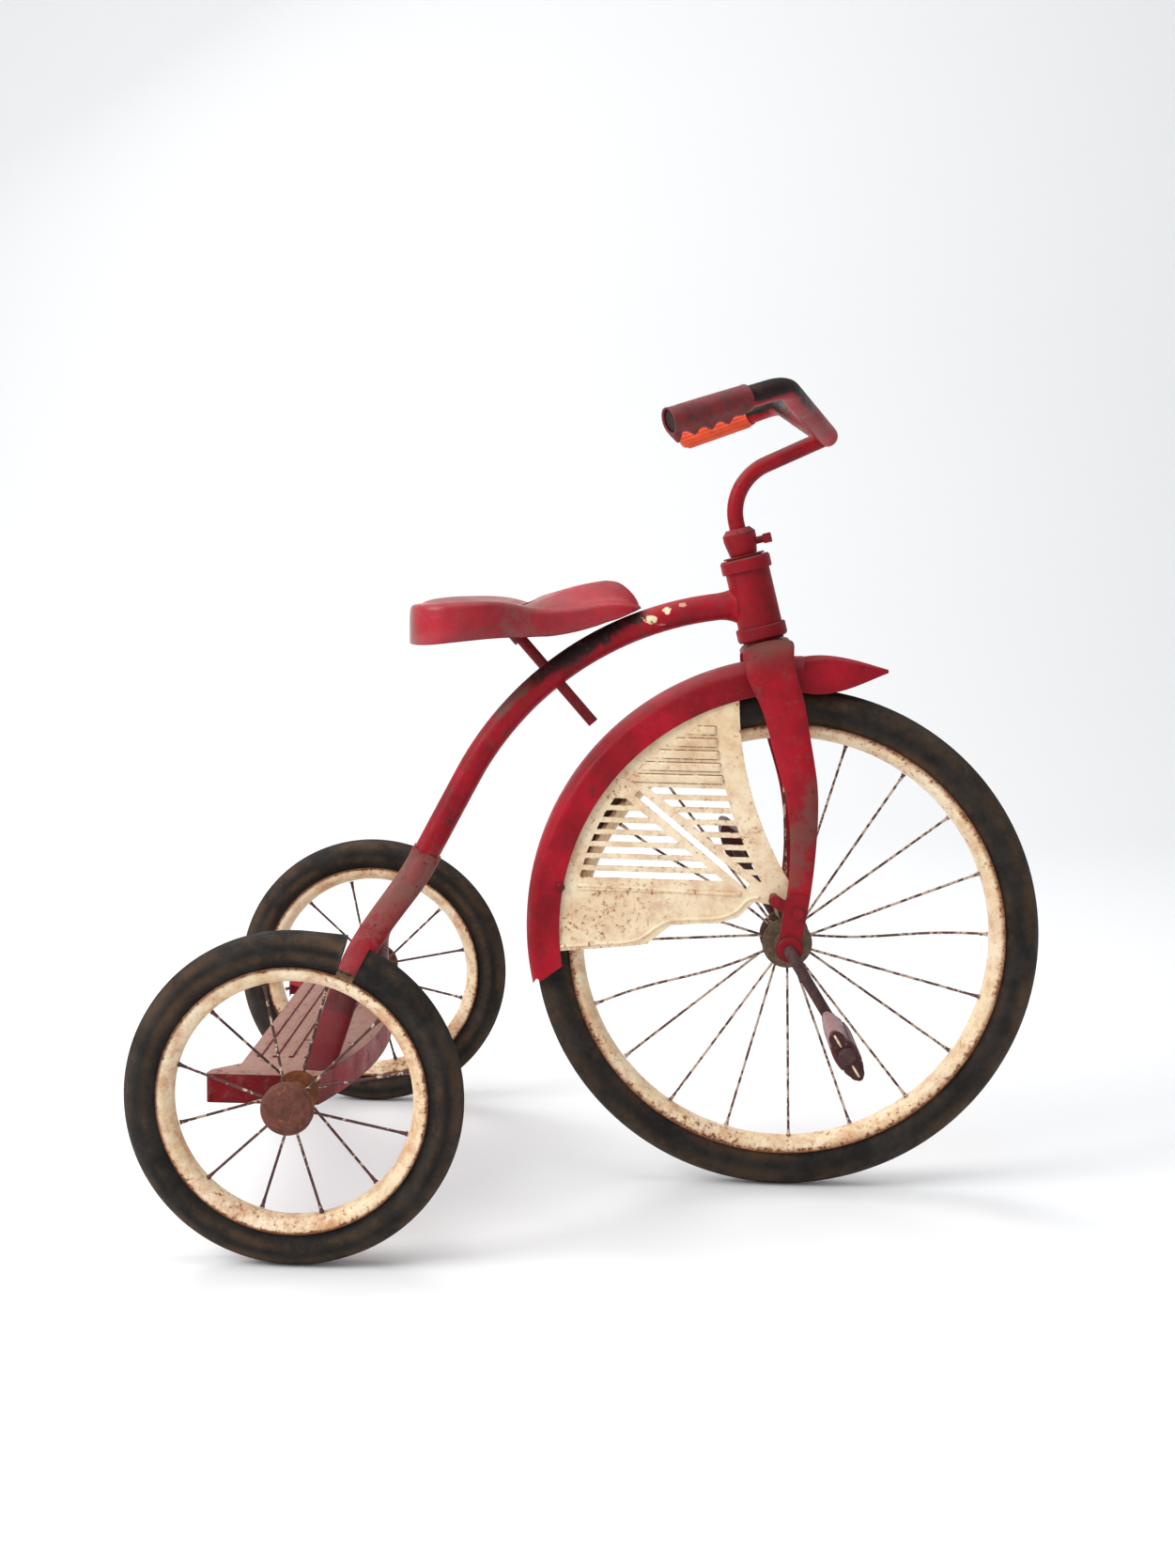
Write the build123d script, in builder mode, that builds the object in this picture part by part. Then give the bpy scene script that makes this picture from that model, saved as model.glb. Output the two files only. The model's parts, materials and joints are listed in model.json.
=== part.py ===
"""Children's tricycle with a 20 inch front wheel, 12 inch rear wheels and a curved backbone.

+X is forward, +Y is the rider's left, +Z is up, and the origin is on the floor at the centre of the
bounding box. Heights are above the floor. Distances along the tricycle are given from the rear axle,
and at() and the planes below move them into this frame. Every dimension is in millimetres.
"""
import os
from math import cos, radians, sin, sqrt

from build123d import *

# ---- driving dimensions -------------------------------------------------------------------------
wheelbase = 453.3
front_radius = 254.0  # 20 inch tyre
rear_radius = 152.4  # 12 inch tyre
rear_track_half = 273.6  # middle of each rear tyre
front_tyre_section = 19.1
rear_tyre_section = 16.6

head_lean = 14.7  # degrees that the steering axis leans back
head_foot = (421.8, 558.8)  # foot of the head tube on the steering axis
head_length = 77.5
bar_skew = -2.8  # degrees that the handlebar sits askew in its clamp

backbone_radius = 13.4
backbone_bend = 327.0
backbone_centre = (420.0, 263.0)
backbone_slope = 62.6  # degrees of the straight lower run

axle_radius = 5.5
running_gap = 0.05
joint_gap = 0.4
sheet = 1.4

crank_throw = 90.0
crank_angle = -58.0  # degrees, right crank seen from the right
post_radius = 5.5
spoke_radius = 1.4
front_spoke_count = 20
rear_spoke_count = 12
front_spoke_start = 2.4
rear_spoke_start = 14.0

# ---- frames of reference ------------------------------------------------------------------------
rear_x = -(wheelbase + front_radius - rear_radius) / 2
right, left = -1, 1
side_names = {right: "right", left: "left"}


def at(x, y, z):
    """A point given from the rear axle, moved into the part's frame."""
    return Vector(rear_x + x, y, z)


def side_plane(y):
    """The upright plane at a distance to the left: local x is forward and local y is up."""
    return Plane(at(0, y, 0), x_dir=(1, 0, 0), z_dir=(0, -1, 0))


def wheel_profile(x, y, z):
    """The plane of a wheel's section: local x is the radius and local y runs along the axle."""
    return Plane(at(x, y, z), x_dir=(0, 0, 1), z_dir=(-1, 0, 0))


def axle_plane(x, y, z, facing=1):
    """The plane across an axle, facing left (1) or right (-1)."""
    return Plane(at(x, y, z), x_dir=(1, 0, 0), z_dir=(0, facing, 0))


lean = radians(head_lean)
steer = Plane(at(head_foot[0], 0, head_foot[1]), x_dir=(cos(lean), 0, sin(lean)),
              z_dir=(-sin(lean), 0, cos(lean)))
steer_axis = Axis(steer.origin, steer.z_dir)
steer_side = Plane(steer.origin, x_dir=steer.x_dir, z_dir=(0, -1, 0))


def keep(part, name):
    """Label a finished piece and write its STEP file."""
    part.label = name
    export_step(part, f"parts/{name}.step")


os.makedirs("parts", exist_ok=True)

# ---- backbone -----------------------------------------------------------------------------------
slope = radians(backbone_slope)
bend_end = (backbone_centre[0] - backbone_bend * sin(slope), backbone_centre[1] + backbone_bend * cos(slope))
backbone_run = 128.0
backbone_foot = (bend_end[0] - backbone_run * cos(slope), bend_end[1] - backbone_run * sin(slope))
backbone_wall = 1.8
head_tube_radius = 22.0

with BuildLine(side_plane(0)) as backbone_path:
    CenterArc(backbone_centre, backbone_bend, 93.0, 180 - (90 - backbone_slope) - 93.0)
    Line(bend_end, backbone_foot)

post_top = (165.0, 570.1)
post_foot = (255.0, 469.2)
post_length = sqrt((post_foot[0] - post_top[0]) ** 2 + (post_foot[1] - post_top[1]) ** 2)
post_dir = ((post_top[0] - post_foot[0]) / post_length, (post_top[1] - post_foot[1]) / post_length)
screw_place = (post_foot[0] + 63 * post_dir[0], post_foot[1] + 63 * post_dir[1])
post_plane = Plane(at(post_foot[0], 0, post_foot[1]), x_dir=(0, 1, 0), z_dir=(post_dir[0], 0, post_dir[1]))

with BuildPart() as backbone:
    with BuildSketch(backbone_path.line ^ 0):
        Circle(backbone_radius)
        Circle(backbone_radius - backbone_wall, mode=Mode.SUBTRACT)
    sweep(path=backbone_path.line)
    with BuildSketch(steer.offset(-20)):
        Circle(head_tube_radius)
    extrude(amount=head_length + 40, mode=Mode.SUBTRACT)
    with BuildSketch(post_plane):
        Circle(post_radius + running_gap)
    extrude(amount=post_length, mode=Mode.SUBTRACT)
    with BuildSketch(axle_plane(screw_place[0], 0, screw_place[1])):
        Circle(3)
    extrude(amount=20, mode=Mode.SUBTRACT)
keep(backbone.part, "backbone_tube")

# ---- head tube and its bearings -----------------------------------------------------------------
head_bore = 18.0
cup_radius = 25.0
cup_height = 11.0
cup_lip = 2.5
steerer_radius = 12.7
steerer_bore = 8.0 + running_gap
ball_radius = 2.2
ball_circle = 15.4
ball_count = 14

with BuildPart() as head_tube:
    with BuildSketch(steer):
        Circle(head_tube_radius)
        Circle(head_bore, mode=Mode.SUBTRACT)
    extrude(amount=head_length)
    with BuildSketch(Plane(at(head_foot[0] - 27, 0, 589.5), x_dir=(0, 1, 0), z_dir=(1, 0, 0.12))):
        Circle(backbone_radius + 2.4)
        Circle(backbone_radius + 0.05, mode=Mode.SUBTRACT)
    extrude(until=Until.NEXT)
keep(head_tube.part, "head_tube")


def head_cup(outer_end, direction):
    """A pressed bearing cup that caps one end of the head tube."""
    with BuildPart() as cup:
        with BuildSketch(steer_side):
            with BuildLine():
                Polyline(
                    (head_tube_radius, outer_end - direction * cup_height),
                    (cup_radius - 0.8, outer_end - direction * cup_height),
                    (cup_radius, outer_end - direction * (cup_height - 1)),
                    (cup_radius, outer_end + direction * 0.5),
                    (cup_radius - 1.5, outer_end + direction * cup_lip),
                    (head_bore, outer_end + direction * cup_lip),
                    (head_bore, outer_end),
                    (head_tube_radius, outer_end),
                    close=True,
                )
            make_face()
        revolve(axis=steer_axis)
    return cup.part


def ball_ring(height):
    """The loose balls of one head bearing."""
    with BuildPart(steer.offset(height)) as ring:
        with PolarLocations(ball_circle, ball_count):
            Sphere(ball_radius)
    return ring.part


keep(head_cup(head_length, 1), "upper_head_cup")
keep(head_cup(0, -1), "lower_head_cup")
keep(ball_ring(head_length - 1.0), "upper_head_balls")
keep(ball_ring(1.0), "lower_head_balls")

# ---- step plate, legs and rear axle -------------------------------------------------------------
deck_top = 160.0
deck_depth = 27.0
deck_end = 222.0
deck_rear = -64.0
ear_rear = -90.0
deck_front_mid = 49.5
deck_front_end = 14.0
rib_radius = 2.6
rib_half = 158.0

with BuildSketch(Plane.XY) as deck_outline:
    with BuildLine():
        Polyline(
            at(deck_front_end, -deck_end, 0), at(ear_rear, -deck_end, 0),
            at(ear_rear + 3, -deck_end + 16, 0),
            at(deck_rear, -deck_end + 40, 0), at(deck_rear, deck_end - 40, 0),
            at(ear_rear + 3, deck_end - 16, 0), at(ear_rear, deck_end, 0), at(deck_front_end, deck_end, 0),
        )
        ThreePointArc(at(deck_front_end, deck_end, 0), at(deck_front_mid, 0, 0),
                      at(deck_front_end, -deck_end, 0))
    make_face()
    fillet([v for v in deck_outline.vertices() if abs(abs(v.Y) - deck_end) < 1], 4)

with BuildPart() as step_plate:
    with BuildSketch(Plane.XY.offset(deck_top)):
        add(deck_outline.sketch)
    extrude(amount=-deck_depth)
    with BuildSketch(Plane.XY.offset(deck_top - sheet)):
        offset(deck_outline.sketch, amount=-sheet)
    extrude(amount=-deck_depth, mode=Mode.SUBTRACT)
    with BuildSketch(side_plane(deck_end - 12)):
        with Locations((ear_rear, deck_top - deck_depth)):
            Rectangle(70, 2 * (deck_depth - 12))
    extrude(amount=2 * (deck_end - 12), mode=Mode.SUBTRACT)
    with BuildSketch(side_plane(rib_half)):
        for rib in range(5):
            with Locations((deck_rear + 12 + 15 * rib, deck_top - 0.8)):
                Circle(rib_radius)
                with Locations((0, -rib_radius)):
                    Rectangle(2 * rib_radius, 2 * rib_radius, mode=Mode.SUBTRACT)
    extrude(amount=2 * rib_half)
    with BuildSketch(axle_plane(0, -deck_end - 1, rear_radius)):
        Circle(axle_radius)
    extrude(amount=2 * deck_end + 2, mode=Mode.SUBTRACT)
keep(step_plate.part, "step_plate")

leg_width = 30.0
leg_thickness = 14.0
leg_wall = 1.8
leg_tangent_top = (-cos(slope), 0, -sin(slope))


def leg_loft(width, thickness):
    """Loft the right leg's outline from the backbone out to the end of the step plate."""
    stations = [
        ((bend_end[0] - 88 * cos(slope), 7.6, bend_end[1] - 88 * sin(slope)), leg_tangent_top),
        ((67.0, 8.5, 297.0), (-0.46, 0.12, -0.88)),
        ((40.0, 38.0, 259.0), (-0.36, 0.55, -0.75)),
        ((21.5, 112.0, 212.5), (-0.14, 0.82, -0.56)),
        ((10.0, 190.0, deck_top), (-0.12, 0.83, -0.55)),
        ((8.8, 198.3, deck_top - 5.5), (-0.12, 0.83, -0.55)),
    ]
    with BuildPart() as outline:
        for (x, y, z), (tx, ty, tz) in stations:
            with BuildSketch(Plane(at(x, -y, z), x_dir=(1, 0, 0), z_dir=(tx, -ty, tz))):
                Ellipse(width / 2, thickness / 2)
        loft()
    return outline.part


backbone_end = Plane(at(backbone_foot[0], 0, backbone_foot[1]), x_dir=(0, 1, 0),
                     z_dir=(cos(slope), 0, sin(slope)))
leg_outside = leg_loft(leg_width, leg_thickness)
leg_inside = leg_loft(leg_width - 2 * leg_wall, leg_thickness - 2 * leg_wall)

# Flattened tubes, notched round the backbone and cut level on the step plate.
with BuildPart() as right_leg:
    add(leg_outside)
    add(leg_inside, mode=Mode.SUBTRACT)
    with BuildSketch(Plane.XY.offset(deck_top)):
        with Locations(at(0, -190, 0)):
            Rectangle(120, 160)
    extrude(amount=-40, mode=Mode.SUBTRACT)
    with BuildSketch(side_plane(0)):
        with Locations((60, 300)):
            Rectangle(200, 200)
    extrude(amount=-100, mode=Mode.SUBTRACT)
    with BuildSketch(backbone_end):
        Circle(backbone_radius)
    extrude(amount=120, mode=Mode.SUBTRACT)
keep(right_leg.part, "right_rear_leg")
keep(mirror(right_leg.part, about=Plane.XZ), "left_rear_leg")

axle_end = 306.0
hub_inner = 236.0
collar_radius = 10.0

with BuildPart() as rear_axle:
    with BuildSketch(axle_plane(0, -axle_end, rear_radius)):
        Circle(axle_radius)
    extrude(amount=2 * axle_end)
    chamfer(rear_axle.edges().filter_by(GeomType.CIRCLE), 0.8)
keep(rear_axle.part, "rear_axle")

with BuildPart() as axle_collars:
    for side in (right, left):
        with BuildSketch(axle_plane(0, side * (deck_end + 0.1), rear_radius, side)):
            Circle(collar_radius)
            Circle(axle_radius, mode=Mode.SUBTRACT)
        extrude(amount=hub_inner - deck_end - 0.1 - joint_gap)
keep(axle_collars.part, "axle_collars")

# ---- wheels -------------------------------------------------------------------------------------
rim_wall = 1.5


def tyre(x, y, radius, section, root_radius, root_half, lip_radius, lip_half):
    """A solid rubber tyre: a round section, two side ribs and a root that fills the rim."""
    middle = radius - section
    with BuildPart() as ring:
        with BuildSketch(wheel_profile(x, y, radius)):
            with Locations((middle, 0)):
                Circle(section)
            with BuildLine():
                Polyline((root_radius, -root_half), (root_radius, root_half), (lip_radius, lip_half),
                         (middle, lip_half), (middle, -lip_half), (lip_radius, -lip_half), close=True)
            make_face()
            for rib_side in (right, left):
                with Locations((middle + 0.45 * section, rib_side * 0.86 * section)):
                    Circle(0.09 * section)
        revolve(axis=Axis(at(x, y, radius), (0, 1, 0)))
    return ring.part


def rim(x, y, axle_height, base, lip, base_half, lip_half):
    """A rolled steel rim: a channel whose sides flare out to a rounded lip."""
    with BuildPart() as ring:
        with BuildSketch(wheel_profile(x, y, axle_height)):
            with BuildLine() as section_line:
                Polyline((lip, lip_half), (base + 5, base_half + 4.5), (base, base_half), (base, -base_half),
                         (base + 5, -base_half - 4.5), (lip, -lip_half))
            make_face(offset(section_line.line, amount=rim_wall / 2, kind=Kind.ARC).edges())
        revolve(axis=Axis(at(x, y, axle_height), (0, 1, 0)))
    return ring.part


def spokes(x, y, axle_height, count, start, hub_radius, hub_half, rim_base):
    """Radial spokes that run to the two hub flanges in turn, each with its nipple under the rim."""
    with BuildPart() as wires:
        for number in range(count):
            turn = radians(start + number * 360 / count)
            flange = right if number % 2 else left
            outward = Vector(cos(turn), 0, sin(turn))
            hub_end = at(x, y + flange * hub_half, axle_height) + outward * hub_radius
            rim_end = at(x, y + flange * 3, axle_height) + outward * rim_base
            reach = rim_end - hub_end
            with BuildSketch(Plane(hub_end, z_dir=reach)):
                Circle(spoke_radius)
            extrude(amount=reach.length)
            with BuildSketch(Plane(rim_end, z_dir=-reach)):
                Circle(spoke_radius + 1.2)
            extrude(amount=6, taper=6)
    return wires.part


def spool(x, y, axle_height, start, end, barrel, flange, flange_at, bore):
    """A hub barrel with two flanges, bored for its axle."""
    with BuildPart() as hub:
        with BuildSketch(axle_plane(x, start, axle_height)):
            Circle(barrel)
            Circle(bore, mode=Mode.SUBTRACT)
        extrude(amount=end - start)
        for place in flange_at:
            with BuildSketch(axle_plane(x, place - 1.2, axle_height)):
                Circle(flange)
                Circle(barrel - 1, mode=Mode.SUBTRACT)
            extrude(amount=2.4)
    return hub.part


front_base = 205.5
front_lip = 218.0
rear_base = 108.0
rear_lip = 120.5
front_flange = 23.0
front_flange_radius = 25.0
rear_flange_offset = 27.0
rear_flange_radius = 19.5
hub_outer = 302.6
cap_radius = 23.5
split_width = 20.0
split_turn = 68.0

keep(tyre(wheelbase, 0, front_radius, front_tyre_section, front_base + 1.0, 7.6, front_lip - 4, 13.0),
     "front_tyre")
keep(rim(wheelbase, 0, front_radius, front_base, front_lip, 9.0, 15.8), "front_rim")
keep(spokes(wheelbase, 0, front_radius, front_spoke_count, front_spoke_start, 17.0,
            front_flange - 1.3 - spoke_radius, front_base - 1.6), "front_spokes")
keep(spool(wheelbase, 0, front_radius, -36, 36, 13.0, front_flange_radius, (-front_flange, front_flange),
           axle_radius), "front_hub")

for side in (right, left):
    name = side_names[side]
    y = side * rear_track_half
    rear_tyre = tyre(0, y, rear_radius, rear_tyre_section, rear_base + 1.0, 6.2, rear_lip - 4, 11.6)
    if side == right:
        split = radians(split_turn)
        with BuildPart() as split_tyre:
            add(rear_tyre)
            split_plane = Plane(at(0, y, rear_radius), x_dir=(0, 1, 0), z_dir=(cos(split), 0, sin(split)))
            with BuildSketch(split_plane):
                Rectangle(60, split_width)
            extrude(amount=rear_radius + 5, mode=Mode.SUBTRACT)
        rear_tyre = split_tyre.part
    keep(rear_tyre, f"{name}_rear_tyre")
    keep(rim(0, y, rear_radius, rear_base, rear_lip, 7.6, 14.2), f"{name}_rear_rim")
    keep(spokes(0, y, rear_radius, rear_spoke_count, rear_spoke_start, 13.5,
                rear_flange_offset - 1.3 - spoke_radius, rear_base - 1.6), f"{name}_rear_spokes")
    ends = sorted((side * hub_inner, side * hub_outer))
    flanges = (y - rear_flange_offset, y + rear_flange_offset)
    keep(spool(0, y, rear_radius, ends[0], ends[1], 10.5, rear_flange_radius, flanges,
               axle_radius + running_gap), f"{name}_rear_hub")
    with BuildPart() as hubcap:
        with BuildSketch(wheel_profile(0, 0, rear_radius)):
            with BuildLine():
                Polyline((0, 309.6), (2.2, 310.2), (4.5, 311.8), (16, 311.4), (21.5, 309.5),
                         (cap_radius, 305.5), (cap_radius, 300.6), (20.2, 300.6), (20.2, 305.0),
                         (17.0, 308.2), (0, 308.2), close=True)
            make_face()
        revolve(axis=Axis(at(0, 0, rear_radius), (0, 1, 0)))
    cap = hubcap.part if side == left else mirror(hubcap.part, about=Plane.XZ)
    keep(cap, f"{name}_hubcap")
    with BuildPart() as washer:
        with BuildSketch(axle_plane(0, side * (hub_outer + joint_gap), rear_radius, side)):
            RegularPolygon(8.5, 6)
            Circle(axle_radius, mode=Mode.SUBTRACT)
        extrude(amount=2.6)
    keep(washer.part, f"{name}_axle_nut")

# ---- crank axle and pedals ----------------------------------------------------------------------
crank_out = 79.0
pedal_inner = 92.0
pedal_outer = 172.0
pedal_length = 60.0
pedal_thick = 24.0
spindle_end = 174.5


def crank_tip(side):
    """The pedal axis of one crank, as distances forward of and above the front axle."""
    turn = radians(crank_angle + (0 if side == right else 180))
    return crank_throw * cos(turn), crank_throw * sin(turn)


tips = {side: crank_tip(side) for side in (right, left)}
crank_points = [
    at(wheelbase + tips[right][0], -spindle_end, front_radius + tips[right][1]),
    at(wheelbase + tips[right][0], -crank_out, front_radius + tips[right][1]),
    at(wheelbase, -crank_out, front_radius),
    at(wheelbase, crank_out, front_radius),
    at(wheelbase + tips[left][0], crank_out, front_radius + tips[left][1]),
    at(wheelbase + tips[left][0], spindle_end, front_radius + tips[left][1]),
]
with BuildLine() as crank_line:
    FilletPolyline(*crank_points, radius=11)
with BuildPart() as crank_axle:
    with BuildSketch(Plane(crank_points[0], z_dir=(0, 1, 0))):
        Circle(axle_radius)
    sweep(path=crank_line.line)
keep(crank_axle.part, "crank_axle")

for side in (right, left):
    name = side_names[side]
    turn = radians(crank_angle)
    tip = tips[side]
    pedal_plane = Plane(at(wheelbase + tip[0], side * pedal_inner, front_radius + tip[1]),
                        x_dir=(cos(turn), 0, sin(turn)), z_dir=(0, side, 0))
    half = pedal_length / 2
    with BuildPart() as rubber:
        with BuildSketch(pedal_plane.offset(3)):
            with BuildLine():
                ThreePointArc((-half, 0), (0, pedal_thick / 2), (half, 0))
                ThreePointArc((half, 0), (0, -pedal_thick / 2), (-half, 0))
            make_face()
            fillet(vertices(), 4)
            Circle(axle_radius + 2.3, mode=Mode.SUBTRACT)
        extrude(amount=pedal_outer - pedal_inner - 6)
        with BuildSketch(pedal_plane):
            for groove in (-12, 12):
                with Locations((groove, pedal_thick / 2), (groove, -pedal_thick / 2)):
                    Rectangle(3, 5)
        extrude(amount=pedal_outer, mode=Mode.SUBTRACT)
    keep(rubber.part, f"{name}_pedal_rubber")
    with BuildPart() as frame_plates:
        for place in (0.5, pedal_outer - pedal_inner - 2.5):
            with BuildSketch(pedal_plane.offset(place)):
                SlotOverall(pedal_length - 8, pedal_thick - 10)
                Circle(axle_radius + 2.2)
                Circle(axle_radius + running_gap, mode=Mode.SUBTRACT)
            extrude(amount=2)
        with BuildSketch(pedal_plane.offset(0.5)):
            Circle(axle_radius + 2.2)
            Circle(axle_radius + running_gap, mode=Mode.SUBTRACT)
        extrude(amount=pedal_outer - pedal_inner - 1)
    keep(frame_plates.part, f"{name}_pedal_frame")
    with BuildPart() as pedal_cap:
        with BuildSketch(pedal_plane.offset(pedal_outer - pedal_inner + joint_gap - 0.5)):
            Circle(8)
        extrude(amount=3.4)
        fillet(pedal_cap.faces().sort_by(Axis.Y)[-1 if side == left else 0].edges(), 1.5)
        with BuildSketch(pedal_plane):
            Circle(axle_radius)
        extrude(amount=spindle_end - pedal_inner, mode=Mode.SUBTRACT)
    keep(pedal_cap.part, f"{name}_pedal_nut")

# ---- fork ---------------------------------------------------------------------------------------
blade_y = 48.0
blade_foot = 272.0
crown_height = -10.5  # middle of the crown along the steering axis
crown_half = 22.0
bracket_top = 309.0
bracket_plate = 3.0
eye_radius = 13.5
eye_face = 62.0
bolt_height = 290.0
guard_ear = (437.5, 302.0)  # bolt that joins the right bracket's arm to the guard


def fork_blade():
    """Loft the left blade of the pressed fork from the side of the crown, over the shoulder and down."""
    stations = [
        (crown_x, crown_half, crown_z, (0, 1, 0), 50, 11),
        (crown_x + 1.5, blade_y - 8, crown_z - 8, (0.05, 0.7, -0.7), 50, 11.5),
        (crown_x + 5.5, blade_y - 1.5, crown_z - 28, (0.2, 0.1, -0.97), 47, 12),
        (437.5, blade_y - 1, 503, (0.25, 0.02, -0.97), 43.5, 12),
        (450.0, blade_y - 0.5, 458, (0.24, 0.01, -0.97), 38, 12),
        (460.8, blade_y, 412, (0.15, 0, -0.99), 32.5, 11),
        (464.6, blade_y, 366, (0.02, 0, -1), 26.5, 9.4),
        (462.8, blade_y, 319, (-0.07, 0, -1), 23.5, 8.2),
        (459.2, blade_y, 290, (-0.12, 0, -1), 23, 7.6),
        (457.0, blade_y, blade_foot, (-0.12, 0, -1), 22, 7.6),
    ]
    with BuildPart() as blade:
        for x, y, z, tangent, width, thickness in stations:
            with BuildSketch(Plane(at(x, y, z), x_dir=(cos(lean), 0, sin(lean)), z_dir=tangent)):
                Ellipse(width / 2, thickness / 2)
        loft()
        with BuildSketch(axle_plane(461.0, blade_y - 10, bolt_height)):
            Circle(3.05)
        extrude(amount=20, mode=Mode.SUBTRACT)
    return blade.part


crown_middle = steer.origin + steer.z_dir * crown_height
crown_x = crown_middle.X - rear_x
crown_z = crown_middle.Z
left_blade = fork_blade()
with BuildPart() as crown:
    with BuildSketch(Plane(crown_middle, x_dir=steer.x_dir, z_dir=(0, 1, 0))):
        Ellipse(25, 5.5)
    extrude(amount=crown_half, both=True)
    with BuildSketch(steer.offset(crown_height - 20)):
        Circle(steerer_radius)
    extrude(amount=60, mode=Mode.SUBTRACT)
with BuildPart() as fork:
    add(crown.part)
    add(left_blade)
    add(mirror(left_blade, about=Plane.XZ))
keep(fork.part, "fork")

collar_start = head_length + 5.5
stem_bolt_radius = 3.6
collar_height = 26.0
steerer_foot = crown_height - 6

with BuildPart() as steerer:
    with BuildSketch(steer.offset(steerer_foot)):
        Circle(steerer_radius)
        Circle(steerer_bore, mode=Mode.SUBTRACT)
    extrude(amount=collar_start + 4 - steerer_foot)
keep(steerer.part, "steerer_tube")

with BuildPart() as stem_collar:
    with BuildSketch(steer_side):
        with BuildLine():
            Polyline((steerer_bore, collar_start + 4), (steerer_radius, collar_start + 4),
                     (steerer_radius, collar_start), (13.6, collar_start), (16.4, collar_start + 15),
                     (16.4, collar_start + collar_height - 5), (12.0, collar_start + collar_height),
                     (steerer_bore, collar_start + collar_height), close=True)
        make_face()
    revolve(axis=steer_axis)
    bolt_plane = Plane(steer.origin + steer.z_dir * (collar_start + 10.5), x_dir=(0, 1, 0),
                       z_dir=steer.x_dir)
    with BuildSketch(bolt_plane):
        Circle(stem_bolt_radius)
    extrude(amount=30, mode=Mode.SUBTRACT)
keep(stem_collar.part, "stem_collar")

with BuildPart() as stem_bolt:
    with BuildSketch(bolt_plane.offset(steerer_bore + joint_gap)):
        Circle(stem_bolt_radius)
    extrude(amount=17)
    with BuildSketch(bolt_plane.offset(steerer_bore + 14.5)):
        Rectangle(9.6, 9.6)
    extrude(amount=8.0)
    chamfer(stem_bolt.faces().sort_by(Axis.X)[-1].edges(), 0.8)
keep(stem_bolt.part, "stem_clamp_bolt")


def head_cone(middle, direction):
    """The cone that runs inside one ring of head balls, fixed on the steerer."""
    with BuildPart() as cone:
        with BuildSketch(steer_side):
            with BuildLine():
                Polyline((steerer_radius, middle + direction * 3.2),
                         (steerer_radius, middle + direction * 5.8), (20.5, middle + direction * 5.8),
                         (20.5, middle + direction * 4.4), close=True)
            make_face()
        revolve(axis=steer_axis)
    return cone.part


keep(head_cone(1.0, -1), "lower_head_cone")
keep(head_cone(head_length - 1.0, 1), "upper_head_cone")

plate_start = blade_y + 4.0
plate_middle = wheelbase + 3.2
for side in (right, left):
    name = side_names[side]
    with BuildPart() as bracket:
        with BuildSketch(side_plane(side * plate_start)):
            with BuildLine():
                Polyline((wheelbase - 11, front_radius), (plate_middle - 9, bracket_top - 7),
                         (plate_middle - 4, bracket_top - 1.5), (plate_middle + 3, bracket_top),
                         (plate_middle + 11, bracket_top - 1.5), (plate_middle + 15, bracket_top - 7),
                         (wheelbase + 11, front_radius), close=True)
            make_face()
            with Locations((wheelbase, front_radius)):
                Circle(eye_radius)
            if side == right:
                with Locations((guard_ear[0] + 8.5, guard_ear[1] - 5.3)):
                    SlotCenterToCenter(20.0, 11.5, rotation=-32)
            with Locations((wheelbase, front_radius)):
                Circle(axle_radius + running_gap, mode=Mode.SUBTRACT)
            with Locations((461, bolt_height)):
                Circle(3.05, mode=Mode.SUBTRACT)
            if side == right:
                with Locations(guard_ear):
                    Circle(3.05, mode=Mode.SUBTRACT)
        extrude(amount=-side * bracket_plate)
        with BuildSketch(axle_plane(wheelbase, side * (plate_start - 8), front_radius, side)):
            Circle(eye_radius - 1.5)
            Circle(axle_radius + running_gap, mode=Mode.SUBTRACT)
        extrude(amount=eye_face - plate_start + 8)
    keep(bracket.part, f"{name}_axle_bracket")
    with BuildPart() as bracket_bolt:
        with BuildSketch(axle_plane(461, side * (blade_y - 8), bolt_height, side)):
            Circle(3)
        extrude(amount=18)
        with BuildSketch(axle_plane(461, side * (plate_start + bracket_plate), bolt_height, side)):
            Circle(6.8)
        extrude(amount=1.2)
        with BuildSketch(axle_plane(461, side * (plate_start + bracket_plate), bolt_height, side)):
            Circle(5.2)
        extrude(amount=4.4)
        with BuildSketch(axle_plane(461, side * (blade_y - 4.2), bolt_height, -side)):
            RegularPolygon(5.5, 6)
        extrude(amount=4)
    keep(bracket_bolt.part, f"{name}_bracket_bolt")

# ---- front fender and its guard -----------------------------------------------------------------
fender_centre = (463.0, 267.0)
fender_radius = 272.0
fender_half = 27.2
skirt_depth = 34.0
fender_rear_turn = 193.8
nose = [  # forward, top, skirt edge and half width of each station of the nose
    (fender_centre[0], 539.0, 505.0, fender_half),
    (504.0, 538.6, 508.5, 22.0),
    (530.0, 532.5, 518.0, 12.5),
    (547.5, 527.8, 524.6, 3.0),
]
fender_axis = Axis(at(fender_centre[0], 0, fender_centre[1]), (0, 1, 0))


def fender_outline(top, skirt, half):
    """A crowned top with round shoulders and straight skirts; local x is the height."""
    size = half / fender_half
    with BuildSketch(mode=Mode.PRIVATE) as outline:
        with BuildLine():
            Line((skirt, -half), (skirt, half))
            Line((skirt, half), (top - (top - skirt) * 0.4, half))
            Spline((top - (top - skirt) * 0.4, half), (top - 4.6 * size, half - 5.6 * size),
                   (top - 0.6 * size, half - 15 * size), (top, 0), (top - 0.6 * size, -half + 15 * size),
                   (top - 4.6 * size, -half + 5.6 * size), (top - (top - skirt) * 0.4, -half),
                   tangents=((1, 0), (-1, 0)))
            Line((top - (top - skirt) * 0.4, -half), (skirt, -half))
        make_face()
    return outline.sketch


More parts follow.
